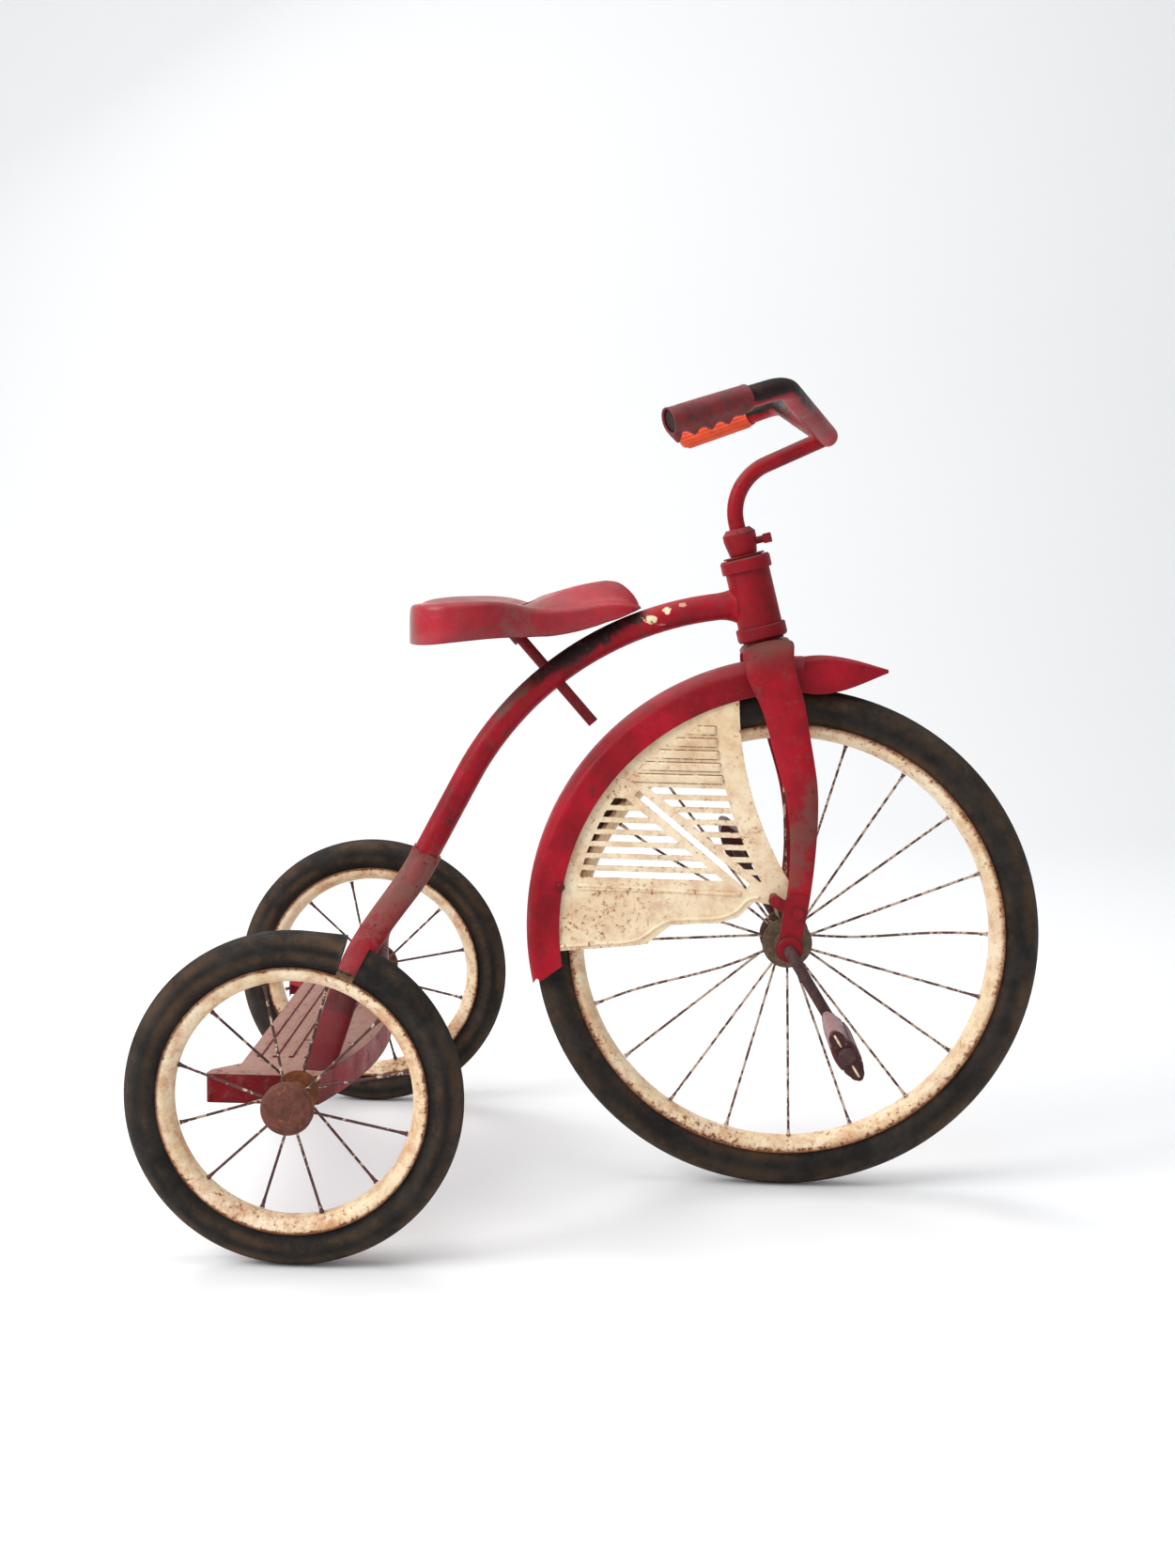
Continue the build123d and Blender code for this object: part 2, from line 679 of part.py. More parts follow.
def fender_solid(trim):
    """The fender's outside, or with a trim its inside."""
    rear_cut = radians(fender_rear_turn)
    rear_plane = Plane(fender_axis.position, x_dir=(cos(rear_cut), 0, sin(rear_cut)),
                       z_dir=(sin(rear_cut), 0, -cos(rear_cut)))
    with BuildPart() as solid:
        with BuildSketch(rear_plane):
            add(fender_outline(fender_radius - trim, fender_radius - skirt_depth - 3 * trim,
                               fender_half - trim))
        revolve(axis=fender_axis, revolution_arc=fender_rear_turn - 90)
        for forward, top, skirt, half in nose:
            with BuildSketch(Plane(at(forward, 0, 0), x_dir=(0, 0, 1), z_dir=(-1, 0, 0))):
                add(fender_outline(top - trim, skirt - 3 * trim, half - trim))
        loft()
    return solid.part


fender_outside = fender_solid(0)
fender_inside = fender_solid(sheet)
with BuildPart() as front_fender:
    add(fender_outside)
    add(fender_inside, mode=Mode.SUBTRACT)
    with BuildSketch(side_plane(0)):
        with BuildLine():
            Polyline((185, 196), (198, 203), (203, 212), (207, 209.5), (233, 229), (250, 240), (250, 185),
                     (185, 185), close=True)
        make_face()
    extrude(amount=40, both=True, mode=Mode.SUBTRACT)
    with BuildSketch(side_plane(0)):
        with Locations((226, 306)):
            Circle(2.5)
    extrude(amount=40, mode=Mode.SUBTRACT)
    with BuildSketch(steer.offset(crown_height - 40)):
        Circle(3)
    extrude(amount=30, mode=Mode.SUBTRACT)
keep(front_fender.part, "front_fender")

guard_tilt = (0.0499, -0.0333)
guard_offset = -21.3
guard_plane = Plane(at(0, guard_offset, 0), x_dir=(1, -guard_tilt[0], 0),
                    z_dir=(-guard_tilt[0], -1, -guard_tilt[1]))
guard_edge_centre = (745.0, 504.0)
guard_edge_radius = 346.0
guard_tuck = 245.0  # radius of the hidden edge behind the fender's skirt
guard_sheet = 1.1
guard_hole = (438.0, 302.0)
screw_hole = (226.0, 306.0)
row_pitch = 12.15
first_row = 466.0
closed_rows = 5
open_rows = 8
slot_height = 6.8
band_turn = -38.9
band_centre = (356.0, 357.0)
band_length = 144.0
bar_width = 8.0
band_slot = 6.4


def row_left(z):
    """Where a row of the guard starts, inside the fender's skirt."""
    return fender_centre[0] - 2 - sqrt(220.0 ** 2 - (z - 275) ** 2)


def row_right(z):
    """Where a row of the guard ends, parallel to its hollow front edge."""
    return guard_edge_centre[0] - sqrt((guard_edge_radius + 24) ** 2 - (z - guard_edge_centre[1]) ** 2)


def tucked(turn):
    """A point of the guard's hidden edge, by its angle around the fender's centre."""
    return (fender_centre[0] - guard_tuck * cos(radians(turn)),
            fender_centre[1] + guard_tuck * sin(radians(turn)))


guard_low, guard_back, guard_top = tucked(-6.2), tucked(35), tucked(74.8)


def row_corners(number, height):
    """The corners of one row of the guard."""
    top = first_row - row_pitch * number + height / 2
    low = top - height
    return [(row_left(top), top), (row_right(top), top), (row_right(low), low), (row_left(low), low)]


with BuildPart() as fender_guard:
    with BuildSketch(guard_plane):
        with BuildLine():
            Polyline(guard_top, (399, 494))
            ThreePointArc((399, 494), (411, 413), (453, 318))
            FilletPolyline((453, 318), (449, 292), (419, 297), (404, 281), (384, 274.5), (337, 271),
                           (313, 251), (290, 247.5), guard_low, radius=5)
            ThreePointArc(guard_low, guard_back, guard_top)
        make_face()
        with Locations(guard_hole):
            Circle(3.4, mode=Mode.SUBTRACT)
        with Locations(screw_hole):
            Circle(2.8, mode=Mode.SUBTRACT)
    extrude(amount=guard_sheet)
    with BuildSketch(guard_plane):
        for row in range(closed_rows, closed_rows + open_rows):
            with BuildLine():
                Polyline(*row_corners(row, slot_height), close=True)
            make_face()
        with Locations(Location(band_centre, band_turn)):
            Rectangle(band_length + 30, band_slot + 2 * bar_width, mode=Mode.SUBTRACT)
            Rectangle(band_length, band_slot)
    extrude(amount=guard_sheet, mode=Mode.SUBTRACT)
    with BuildSketch(guard_plane.offset(guard_sheet)):
        for row in range(closed_rows):
            with BuildLine():
                Polyline(*row_corners(row, slot_height + 0.8), close=True)
            make_face()
        with Locations((324, 305)):
            SlotOverall(164, 3)
    extrude(amount=0.9)
keep(fender_guard.part, "fender_guard")

with BuildPart() as guard_bolt:
    with BuildSketch(axle_plane(437.5, -plate_start - bracket_plate - 4.4, 302)):
        Circle(5.4)
    extrude(amount=4.4)
    with BuildSketch(axle_plane(437.5, -plate_start - bracket_plate, 302)):
        Circle(3)
    extrude(amount=30)
    with BuildSketch(axle_plane(437.5, -plate_start, 302)):
        Circle(4.4)
    extrude(amount=plate_start - 35.1)
    with BuildSketch(axle_plane(437.5, -32.3, 302)):
        RegularPolygon(5, 6)
    extrude(amount=4)
keep(guard_bolt.part, "guard_bolt")

with BuildPart() as fender_screw:
    with BuildSketch(axle_plane(226, -fender_half - 2.2, 306)):
        Circle(4.2)
    extrude(amount=2.2)
    fillet(fender_screw.faces().sort_by(Axis.Y)[0].edges(), 1.6)
    with BuildSketch(axle_plane(226, -fender_half, 306)):
        Circle(2.4)
    extrude(amount=6.4)
keep(fender_screw.part, "fender_screw")

fender_seat = -22.9  # height of the fender's crown along the steering axis
with BuildPart() as fender_bolt:
    with BuildSketch(steer.offset(fender_seat - 2)):
        Circle(9)
    extrude(amount=steerer_foot - fender_seat + 1.9)
    add(fender_outside, mode=Mode.SUBTRACT)
    with BuildSketch(steer.offset(fender_seat - 5.6)):
        Circle(2.9)
    extrude(amount=steerer_foot - fender_seat + 9)
    with BuildSketch(steer.offset(fender_seat - 5.6)):
        Circle(5.5)
    extrude(amount=3)
    with BuildSketch(steer.offset(steerer_foot)):
        Circle(steerer_bore)
    extrude(amount=8)
keep(fender_bolt.part, "fender_bolt")

# ---- handlebar ----------------------------------------------------------------------------------
bar_radius = 10.2
bar_wall = 1.5
stem_radius = 8.0
stem_foot = 26.0
bar_middle = (480.0, 0, 755.0)
bar_corner = (434.0, 155.0, 794.0)
bar_end = (332.0, 214.0, 759.0)
stem_corner = (382.3, 0, 709.65)
grip_start = 3.0
right_grip_length = 82.0
left_grip_length = 87.0
grip_radius = 12.2


def bent_line(points, radii):
    """Straight runs between the points, with an arc of its own radius at each inner corner."""
    with BuildLine() as line:
        start = points[0]
        for before, corner, after, radius in zip(points, points[1:], points[2:], radii):
            arriving = (corner - before).normalized()
            leaving = (after - corner).normalized()
            half_turn = radians(arriving.get_angle(leaving)) / 2
            setback = radius * sin(half_turn) / cos(half_turn)
            bulge = (leaving - arriving).normalized() * (radius / cos(half_turn) - radius)
            Line(start, corner - arriving * setback)
            ThreePointArc(corner - arriving * setback, corner + bulge, corner + leaving * setback)
            start = corner + leaving * setback
        Line(start, points[-1])
    return line.line


def skewed(part):
    """Turn a finished piece by the small angle that the handlebar sits askew in its clamp."""
    return part.rotate(steer_axis, bar_skew)


ends = {side: at(bar_end[0], side * bar_end[1], bar_end[2]) for side in (right, left)}
corners = {side: at(bar_corner[0], side * bar_corner[1], bar_corner[2]) for side in (right, left)}
inward = {side: (corners[side] - ends[side]).normalized() for side in (right, left)}
bar_path = bent_line([ends[right] + inward[right] * grip_start, corners[right], at(*bar_middle),
                      corners[left], ends[left] + inward[left] * grip_start], (35, 10, 35))
with BuildPart() as handlebar:
    with BuildSketch(bar_path ^ 0):
        Circle(bar_radius)
        Circle(bar_radius - bar_wall, mode=Mode.SUBTRACT)
    sweep(path=bar_path)

stem_path = bent_line([steer.origin + steer.z_dir * stem_foot, at(*stem_corner), at(*bar_middle)], (50,))
with BuildPart() as gooseneck:
    with BuildSketch(stem_path ^ 0):
        Circle(stem_radius)
    sweep(path=stem_path)
    with BuildSketch(bar_path ^ 0):
        Circle(bar_radius)
    sweep(path=bar_path, mode=Mode.SUBTRACT)
keep(skewed(gooseneck.part), "gooseneck")
keep(skewed(handlebar.part), "handlebar")

grip_planes = {side: Plane(ends[side], x_dir=Vector(0, 0, 1).cross(inward[side]), z_dir=inward[side])
               for side in (right, left)}
with BuildPart() as left_grip:
    with BuildSketch(grip_planes[left]):
        Circle(grip_radius - 0.6)
    extrude(amount=left_grip_length)
    with BuildSketch(grip_planes[left]):
        Circle(grip_radius + 1.5)
    extrude(amount=3)
    with BuildSketch(grip_planes[left].offset(5)):
        with PolarLocations(grip_radius - 0.6, 20):
            Circle(0.8)
    extrude(amount=left_grip_length - 8)
    with BuildSketch(grip_planes[left]):
        Circle(bar_radius)
    extrude(amount=left_grip_length, mode=Mode.SUBTRACT)
keep(skewed(left_grip.part), "left_grip")

finger_pitch = 16.5
with BuildPart() as right_grip:
    with BuildSketch(grip_planes[right]):
        Circle(grip_radius)
    extrude(amount=right_grip_length)
    with BuildSketch(grip_planes[right].offset(2)):
        with Locations((0, -grip_radius)):
            Rectangle(8, 9)
    extrude(amount=right_grip_length - 6)
    with BuildSketch(grip_planes[right]):
        Circle(grip_radius + 2.5)
    extrude(amount=4)
    for finger in range(4):
        hollow = Vector(0, -grip_radius - 8, 15 + finger_pitch * finger)
        centre = grip_planes[right].from_local_coords(hollow)
        with BuildSketch(Plane(centre - grip_planes[right].x_dir * 20, x_dir=grip_planes[right].z_dir,
                               z_dir=grip_planes[right].x_dir)):
            Circle(7)
        extrude(amount=40, mode=Mode.SUBTRACT)
    with BuildSketch(grip_planes[right]):
        Circle(bar_radius)
    extrude(amount=right_grip_length, mode=Mode.SUBTRACT)
keep(skewed(right_grip.part), "right_grip")

# ---- seat ---------------------------------------------------------------------------------------
seat_sheet = 1.6
seat_stations = [  # forward, half width, skirt edge, rim height and how far the middle lies under the rim
    (73.0, 52.0, 550.0, 583.0, 1.0),
    (80.0, 72.0, 547.5, 586.5, 4.0),
    (98.0, 94.0, 548.5, 589.0, 9.0),
    (122.0, 100.0, 551.5, 590.5, 12.0),
    (150.0, 88.0, 554.5, 591.0, 11.0),
    (180.0, 62.0, 555.5, 587.5, 3.0),
    (205.0, 45.0, 556.0, 583.0, -13.0),
    (232.0, 35.0, 560.0, 586.0, -18.5),
    (260.0, 29.0, 568.0, 592.0, -18.5),
    (284.0, 21.5, 576.5, 592.0, -13.5),
    (299.0, 9.0, 583.0, 586.5, -3.0),
]


def seat_solid(trim):
    """The seat pan's outside, or with a trim its inside."""
    with BuildPart() as solid:
        for forward, half, skirt, rim_height, dish in seat_stations:
            half = half - trim
            top = rim_height - trim
            low = skirt - 3 * trim
            shoulder = min(7.0, (rim_height - skirt) / 2)
            with BuildSketch(Plane(at(forward, 0, 0), x_dir=(0, 1, 0), z_dir=(1, 0, 0))):
                with BuildLine():
                    Line((-half, low), (half, low))
                    Line((half, low), (half, top - shoulder))
                    Spline((half, top - shoulder), (half - 0.12 * half, top), (half * 0.5, top - dish * 0.7),
                           (0, top - dish), (-half * 0.5, top - dish * 0.7), (-half + 0.12 * half, top),
                           (-half, top - shoulder), tangents=((0, 1), (0, -1)))
                    Line((-half, top - shoulder), (-half, low))
                make_face()
        loft()
    return solid.part


seat_outside = seat_solid(0)
seat_inside = seat_solid(seat_sheet)
with BuildPart() as seat_pan:
    add(seat_outside)
    add(seat_inside, mode=Mode.SUBTRACT)
keep(seat_pan.part, "seat_pan")

post_tilt = Plane(at(post_top[0], 0, post_top[1]), x_dir=(0, 1, 0), z_dir=(post_dir[0], 0, post_dir[1]))
with BuildPart() as seat_post:
    with BuildSketch(post_plane):
        Circle(post_radius)
    extrude(amount=post_length)
keep(seat_post.part, "seat_post")

clamp_half = 9.5
bolt_place = (181.5, 571.5)
with BuildPart() as seat_bracket:
    with BuildSketch(side_plane(-clamp_half)):
        with BuildLine():
            Polyline((150, 575), (160, 562), (178, 562), (192, 568), (196, 600), (146, 600), close=True)
        make_face()
    extrude(amount=-2 * clamp_half)
    add(seat_inside, mode=Mode.INTERSECT)
    with BuildSketch(post_tilt.offset(-26)):
        Circle(post_radius + 3)
    extrude(amount=26)
    with BuildSketch(post_tilt.offset(-40)):
        Circle(post_radius)
    extrude(amount=40, mode=Mode.SUBTRACT)
    with BuildSketch(axle_plane(bolt_place[0], -30, bolt_place[1])):
        Circle(2.5)
    extrude(amount=60, mode=Mode.SUBTRACT)
keep(seat_bracket.part, "seat_bracket")

with BuildPart() as seat_bolt:
    with BuildSketch(axle_plane(bolt_place[0], -clamp_half - 5, bolt_place[1])):
        Circle(2.5)
    extrude(amount=2 * clamp_half + 10)
    for side in (right, left):
        with BuildSketch(axle_plane(bolt_place[0], side * clamp_half, bolt_place[1], side)):
            RegularPolygon(5, 6)
        extrude(amount=4)
keep(seat_bolt.part, "seat_bolt")

with BuildPart() as set_screw:
    with BuildSketch(axle_plane(screw_place[0], post_radius + 0.3, screw_place[1])):
        Circle(3)
    extrude(amount=backbone_radius + 1)
    with BuildSketch(axle_plane(screw_place[0], backbone_radius + 1, screw_place[1])):
        RegularPolygon(5.5, 6)
    extrude(amount=4.5)
keep(set_screw.part, "seat_set_screw")
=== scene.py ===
"""Looks of the children's tricycle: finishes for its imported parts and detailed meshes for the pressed,
moulded and laced ones. Lengths are in metres. +X is forward, +Y is the rider's left and +Z is up."""
import json
from math import cos, pi, radians, sin

import bpy
from mathutils import Matrix, Vector


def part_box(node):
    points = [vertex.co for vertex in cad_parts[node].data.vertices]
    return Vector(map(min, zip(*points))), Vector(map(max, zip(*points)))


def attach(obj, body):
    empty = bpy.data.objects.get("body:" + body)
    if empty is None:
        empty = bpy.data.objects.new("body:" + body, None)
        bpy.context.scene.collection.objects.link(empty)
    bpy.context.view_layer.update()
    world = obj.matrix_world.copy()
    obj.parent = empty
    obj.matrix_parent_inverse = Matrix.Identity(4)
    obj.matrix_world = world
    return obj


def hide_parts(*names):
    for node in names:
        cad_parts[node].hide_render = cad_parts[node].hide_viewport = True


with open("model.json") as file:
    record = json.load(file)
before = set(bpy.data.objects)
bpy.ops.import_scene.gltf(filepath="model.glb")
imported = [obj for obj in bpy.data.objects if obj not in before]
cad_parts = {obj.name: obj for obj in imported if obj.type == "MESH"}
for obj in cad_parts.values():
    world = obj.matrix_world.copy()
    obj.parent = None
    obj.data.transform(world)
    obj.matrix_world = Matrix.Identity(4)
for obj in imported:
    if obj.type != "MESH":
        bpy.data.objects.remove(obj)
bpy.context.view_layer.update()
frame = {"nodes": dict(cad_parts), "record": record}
nodes = frame["nodes"]
sides = ("right", "left")


# ---- places taken from the frame ----------------------------------------------------------------
def middle(node):
    """The centre of a node's box at rest."""
    low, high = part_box(node)
    return (low + high) / 2


front_axle = middle("front_hub")
rear_axle = middle("rear_axle")


# ---- colours ------------------------------------------------------------------------------------
def rgb(red, green, blue):
    """A display colour of 0 to 255 as linear light."""
    levels = [level / 255 for level in (red, green, blue)]
    return [level / 12.92 if level < 0.04045 else ((level + 0.055) / 1.055) ** 2.4 for level in levels] + [1]


red = rgb(166, 14, 34)
deep_red = rgb(128, 10, 24)
clouded_red = rgb(98, 20, 26)
# Painted shade for the lower rear legs, seen through the wheels.
painted_shade_red = rgb(92, 8, 16)
streaked_red = rgb(140, 44, 44)
rubbed_red = rgb(96, 30, 30)
# The next three colours go on paint that faces up: partly dust, partly a painted sheen of the light from
# above.
dust_and_sheen_red = rgb(132, 66, 66)
dust_and_sheen_brown = rgb(106, 70, 62)
brown_top = rgb(98, 60, 50)
brown_front = rgb(112, 66, 60)
leg_dust = rgb(126, 84, 76)
saddle_dust = rgb(120, 82, 74)
# The step plate's flat top: dust and wear, with a painted sheen of the light from above.
deck_dust_and_sheen = rgb(154, 118, 104)
deck_grime = rgb(104, 46, 42)
bare_metal = rgb(78, 50, 48)
grime = rgb(34, 24, 23)
rust_spot = rgb(70, 38, 26)
rust_pit = rgb(44, 27, 22)
rust_light = rgb(150, 88, 52)
rust_dark = rgb(88, 50, 32)
rust_halo = rgb(184, 118, 68)
old_cream = rgb(238, 218, 178)
clean_cream = rgb(244, 226, 194)
aged_cream = rgb(232, 208, 168)
stained_cream = rgb(198, 146, 104)
lip_stain = rgb(140, 92, 62)
pink_chip = rgb(206, 150, 128)
rose_chip = rgb(196, 120, 104)
tyre_black = rgb(28, 27, 26)
tyre_grey = rgb(50, 45, 41)
tyre_dust = rgb(88, 66, 46)
tyre_scuff = rgb(60, 50, 43)
rubber_dirt = rgb(48, 30, 26)
pedal_worn = rgb(150, 108, 108)


# ---- finishes -----------------------------------------------------------------------------------
class Finish:
    """A material whose pattern is laid out in the object's own coordinates."""

    def __init__(self, name, metallic=0.0, coat=0.0, sheen=0.0, specular=0.5):
        self.material = bpy.data.materials.new(name)
        self.material.use_nodes = True
        self.tree = self.material.node_tree
        self.shader = self.tree.nodes["Principled BSDF"]
        self.shader.inputs["Metallic"].default_value = metallic
        self.shader.inputs["Coat Weight"].default_value = coat
        self.shader.inputs["Sheen Weight"].default_value = sheen
        self.shader.inputs["Specular IOR Level"].default_value = specular
        coordinates = self.node("ShaderNodeTexCoord")
        self.place = coordinates.outputs["Object"]
        self.facing = coordinates.outputs["Normal"]

    def node(self, kind, settings=(), **sockets):
        """Add a node; settings are its properties and sockets its inputs, by name or by number."""
        made = self.tree.nodes.new(kind)
        for name, value in dict(settings).items():
            setattr(made, name, value)
        for name, value in sockets.items():
            socket = made.inputs[int(name[1:])] if name[1:].isdigit() else made.inputs[name]
            if isinstance(value, bpy.types.NodeSocket):
                self.tree.links.new(value, socket)
            else:
                socket.default_value = value
        return made

    def math(self, operation, first, second=0.0, clamp=False):
        return self.node("ShaderNodeMath", {"operation": operation, "use_clamp": clamp},
                         _0=first, _1=second).outputs[0]

    def noise(self, scale, detail=5.0, roughness=0.6, stretch=(1, 1, 1), offset=(0, 0, 0)):
        """A noise pattern with this many features to the metre."""
        spot = self.node("ShaderNodeMapping", Vector=self.place, Scale=stretch, Location=offset)
        made = self.node("ShaderNodeTexNoise", Vector=spot.outputs[0], Scale=scale, Detail=detail,
                         Roughness=roughness)
        return made.outputs[0]

    def step(self, value, start, end, low=0.0, high=1.0):
        """Map a value that runs from start to end onto low to high, smoothly."""
        made = self.node("ShaderNodeMapRange", {"interpolation_type": "SMOOTHSTEP"}, Value=value)
        for socket, number in zip(("From Min", "From Max", "To Min", "To Max"), (start, end, low, high)):
            made.inputs[socket].default_value = number
        return made.outputs[0]

    def mix(self, amount, first, second):
        """Blend two colours."""
        made = self.node("ShaderNodeMix", {"data_type": "RGBA"}, _0=amount, _6=first, _7=second)
        return made.outputs[2]

    def distance(self, centre, scale=(1, 1, 1)):
        """How far a point lies from a centre, with each axis scaled; a zero scale drops an axis."""
        offset = self.node("ShaderNodeVectorMath", {"operation": "SUBTRACT"}, _0=self.place, _1=centre)
        scaled = self.node("ShaderNodeVectorMath", {"operation": "MULTIPLY"}, _0=offset.outputs[0], _1=scale)
        length = self.node("ShaderNodeVectorMath", {"operation": "LENGTH"}, _0=scaled.outputs[0])
        return length.outputs["Value"]

    def along(self, axis, start=(0, 0, 0)):
        """How far a point lies along an axis from a starting point."""
        offset = self.node("ShaderNodeVectorMath", {"operation": "SUBTRACT"}, _0=self.place, _1=start)
        return self.node("ShaderNodeVectorMath", {"operation": "DOT_PRODUCT"}, _0=offset.outputs[0],
                         _1=axis).outputs["Value"]

    def near(self, centre, inner, outer, scale=(1, 1, 1)):
        """1 inside the inner distance from a centre and 0 beyond the outer one."""
        return self.step(self.distance(centre, scale), inner, outer, 1.0, 0.0)

    def edges(self, width):
        """1 on sharp edges, fading out over about this width."""
        rounded = self.node("ShaderNodeBevel", {"samples": 4}, Radius=width).outputs[0]
        flat = self.node("ShaderNodeNewGeometry").outputs["Normal"]
        facing = self.node("ShaderNodeVectorMath", {"operation": "DOT_PRODUCT"}, _0=rounded, _1=flat)
        return self.step(facing.outputs["Value"], 0.995, 0.86)

    def facing_up(self):
        """1 on surfaces that face up."""
        return self.node("ShaderNodeSeparateXYZ", Vector=self.facing).outputs["Z"]

    def close(self, color, roughness, height, depth):
        """Connect the colour, the roughness and the bump of this depth."""
        bump = self.node("ShaderNodeBump", Height=height, Distance=depth, Strength=1.0)
        for socket, value in (("Base Color", color), ("Roughness", roughness), ("Normal", bump.outputs[0])):
            self.tree.links.new(value, self.shader.inputs[socket])
        return self.material


def patch(place, inner, outer, scale=(1, 1, 1)):
    """The mask of a mark: whole inside the inner distance from a place, gone beyond the outer one."""
    return lambda f: f.near(place, inner, outer, scale)


def on_top(mask, start=-0.1, end=0.5):
    """A mask kept to the surfaces that face up."""
    return lambda f: f.math("MULTIPLY", mask(f), f.step(f.facing_up(), start, end))


def ragged(f, mask, soft):
    """Break up the border of a mask with noise; soft is how gradually it ends."""
    noisy = f.math("ADD", mask, f.step(f.noise(75, 9, 0.75), 0.3, 0.7, -0.42, 0.42))
    return f.step(noisy, 0.5 - soft, 0.5 + soft)


def marked(f, color, marks):
    """Lay marks over a colour; each has a mask function, a colour, its strength and how soft it ends."""
    for mask, mark_color, amount, soft in marks:
        color = f.mix(f.math("MULTIPLY", ragged(f, mask(f), soft), amount), color, mark_color)
    return color


def worn_paint(name, paint, deep, dust_and_sheen_color, bare, chips=0.62, gloss=0.34, dust=0.42, clouds=0.45, marks=(),
               specular=0.16, wear=1.0):
    """Old red paint over steel: dust and a painted sheen on top, darker clouds, scratches, marks, chips and
    worn edges.
    """
    f = Finish(name, coat=0.02, specular=specular)
    color = f.mix(f.step(f.noise(11, 4), 0.38, 0.66), paint, deep)
    cloudy = f.step(f.noise(38, 8, 0.72), 0.44, 0.70)
    color = f.mix(f.math("MULTIPLY", cloudy, clouds), color, clouded_red)
    # Up-facing surfaces take the dust colour in patches: partly dust lying on them, partly a painted sheen of
    # the light from above.
    upward = f.step(f.facing_up(), 0.05, 0.85)
    top = f.math("MULTIPLY", upward, f.step(f.noise(44, 8, 0.72), 0.30, 0.62, 0.15, 1.0))
    color = f.mix(f.math("MULTIPLY", top, dust), color, dust_and_sheen_color)
    speckle = f.step(f.noise(230, 7, 0.75), 0.56, 0.66, 0, 0.30)
    color = f.mix(speckle, color, dust_and_sheen_color)
    scratches = f.step(f.noise(90, 8, 0.8, (1, 1, 0.22), (5, 1, 0)), 0.60, 0.67, 0, 0.5)
    color = f.mix(scratches, color, bare)
    color = marked(f, color, marks)
    chip_mask = f.step(f.noise(110, 7, 0.72), chips, chips + 0.025)
    patchy = f.step(f.noise(80, 5, 0.7), 0.30, 0.6, 0.1 * wear, wear)
    edge_mask = f.math("MULTIPLY", f.edges(0.0020), patchy)
    bare_mask = f.math("MAXIMUM", chip_mask, edge_mask)
    color = f.mix(f.math("MULTIPLY", bare_mask, 0.8), color, bare)
    rust = f.step(f.noise(170, 6, 0.7, offset=(3, 1, 2)), 0.66, 0.70)
    color = f.mix(f.math("MULTIPLY", rust, 0.7), color, rust_spot)
    roughness = f.step(f.noise(34, 6), 0.3, 0.7, gloss, gloss + 0.2)
    roughness = f.math("ADD", roughness, f.math("MULTIPLY", f.math("MAXIMUM", bare_mask, top), 0.22), True)
    height = f.math("SUBTRACT", f.noise(420, 3), f.math("MULTIPLY", bare_mask, 0.9))
    return f.close(color, roughness, height, 0.00025)


def cream_paint(name, centre=None, rim_radius=0.2, rusting=0.0, stain=0.6):
    """Cream paint that rust has come up through, most of all near a rim's outer lip."""
    f = Finish(name, coat=0.08)
    color = f.mix(f.step(f.noise(12, 4), 0.35, 0.7), clean_cream, aged_cream)
    color = f.mix(f.step(f.noise(34, 8, 0.75), 0.40, 0.68, 0, stain), color, stained_cream)
    level = f.noise(210, 9, 0.74)
    regions = f.noise(16, 4, 0.6, offset=(4, 4, 4))
    level = f.math("ADD", level, f.step(regions, 0.42, 0.66, -0.03, 0.055 + rusting))
    if centre:
        reach = f.distance(centre, (1, 0, 1))
        lip = f.step(reach, rim_radius * 0.962, rim_radius, 0, 0.13)
        color = f.mix(f.step(reach, rim_radius * 0.975, rim_radius, 0, 0.85), color, lip_stain)
        low = f.step(f.along((0, 0, 1), centre), -0.3 * rim_radius, -rim_radius, 0, 0.045)
        level = f.math("ADD", f.math("ADD", level, lip), low)
    level = f.math("ADD", level, f.math("MULTIPLY", f.edges(0.0018), 0.10))
    color = f.mix(f.step(level, 0.53, 0.66, 0, 0.8), color, rust_halo)
    rust = f.step(level, 0.625, 0.675)
    color = f.mix(rust, color, f.mix(f.noise(300, 4), rust_light, rust_dark))
    roughness = f.step(f.noise(30, 6), 0.3, 0.7, 0.38, 0.6)
    roughness = f.math("ADD", roughness, f.math("MULTIPLY", rust, 0.3), True)
    height = f.math("SUBTRACT", f.noise(380, 3), f.math("MULTIPLY", rust, 0.8))
    return f.close(color, roughness, height, 0.0003)


def rusted_steel(name, light, dark, flakes=None, flake_level=0.6):
    """Steel rusted all over, with flakes of old paint still on it."""
    f = Finish(name, metallic=0.15)
    color = f.mix(f.step(f.noise(120, 8, 0.75), 0.35, 0.66), light, dark)
    color = f.mix(f.step(f.noise(420, 5, 0.7), 0.5, 0.75, 0, 0.7), color, rust_pit)
    if flakes:
        left = f.step(f.noise(150, 6, 0.65, offset=(1, 2, 3)), flake_level, flake_level + 0.04)
        color = f.mix(left, color, flakes)
    height = f.math("ADD", f.noise(260, 8, 0.8), f.step(f.edges(0.001), 0, 1, 0, 0.2))
    return f.close(color, f.step(f.noise(200, 5), 0.3, 0.7, 0.6, 0.88), height, 0.0006)


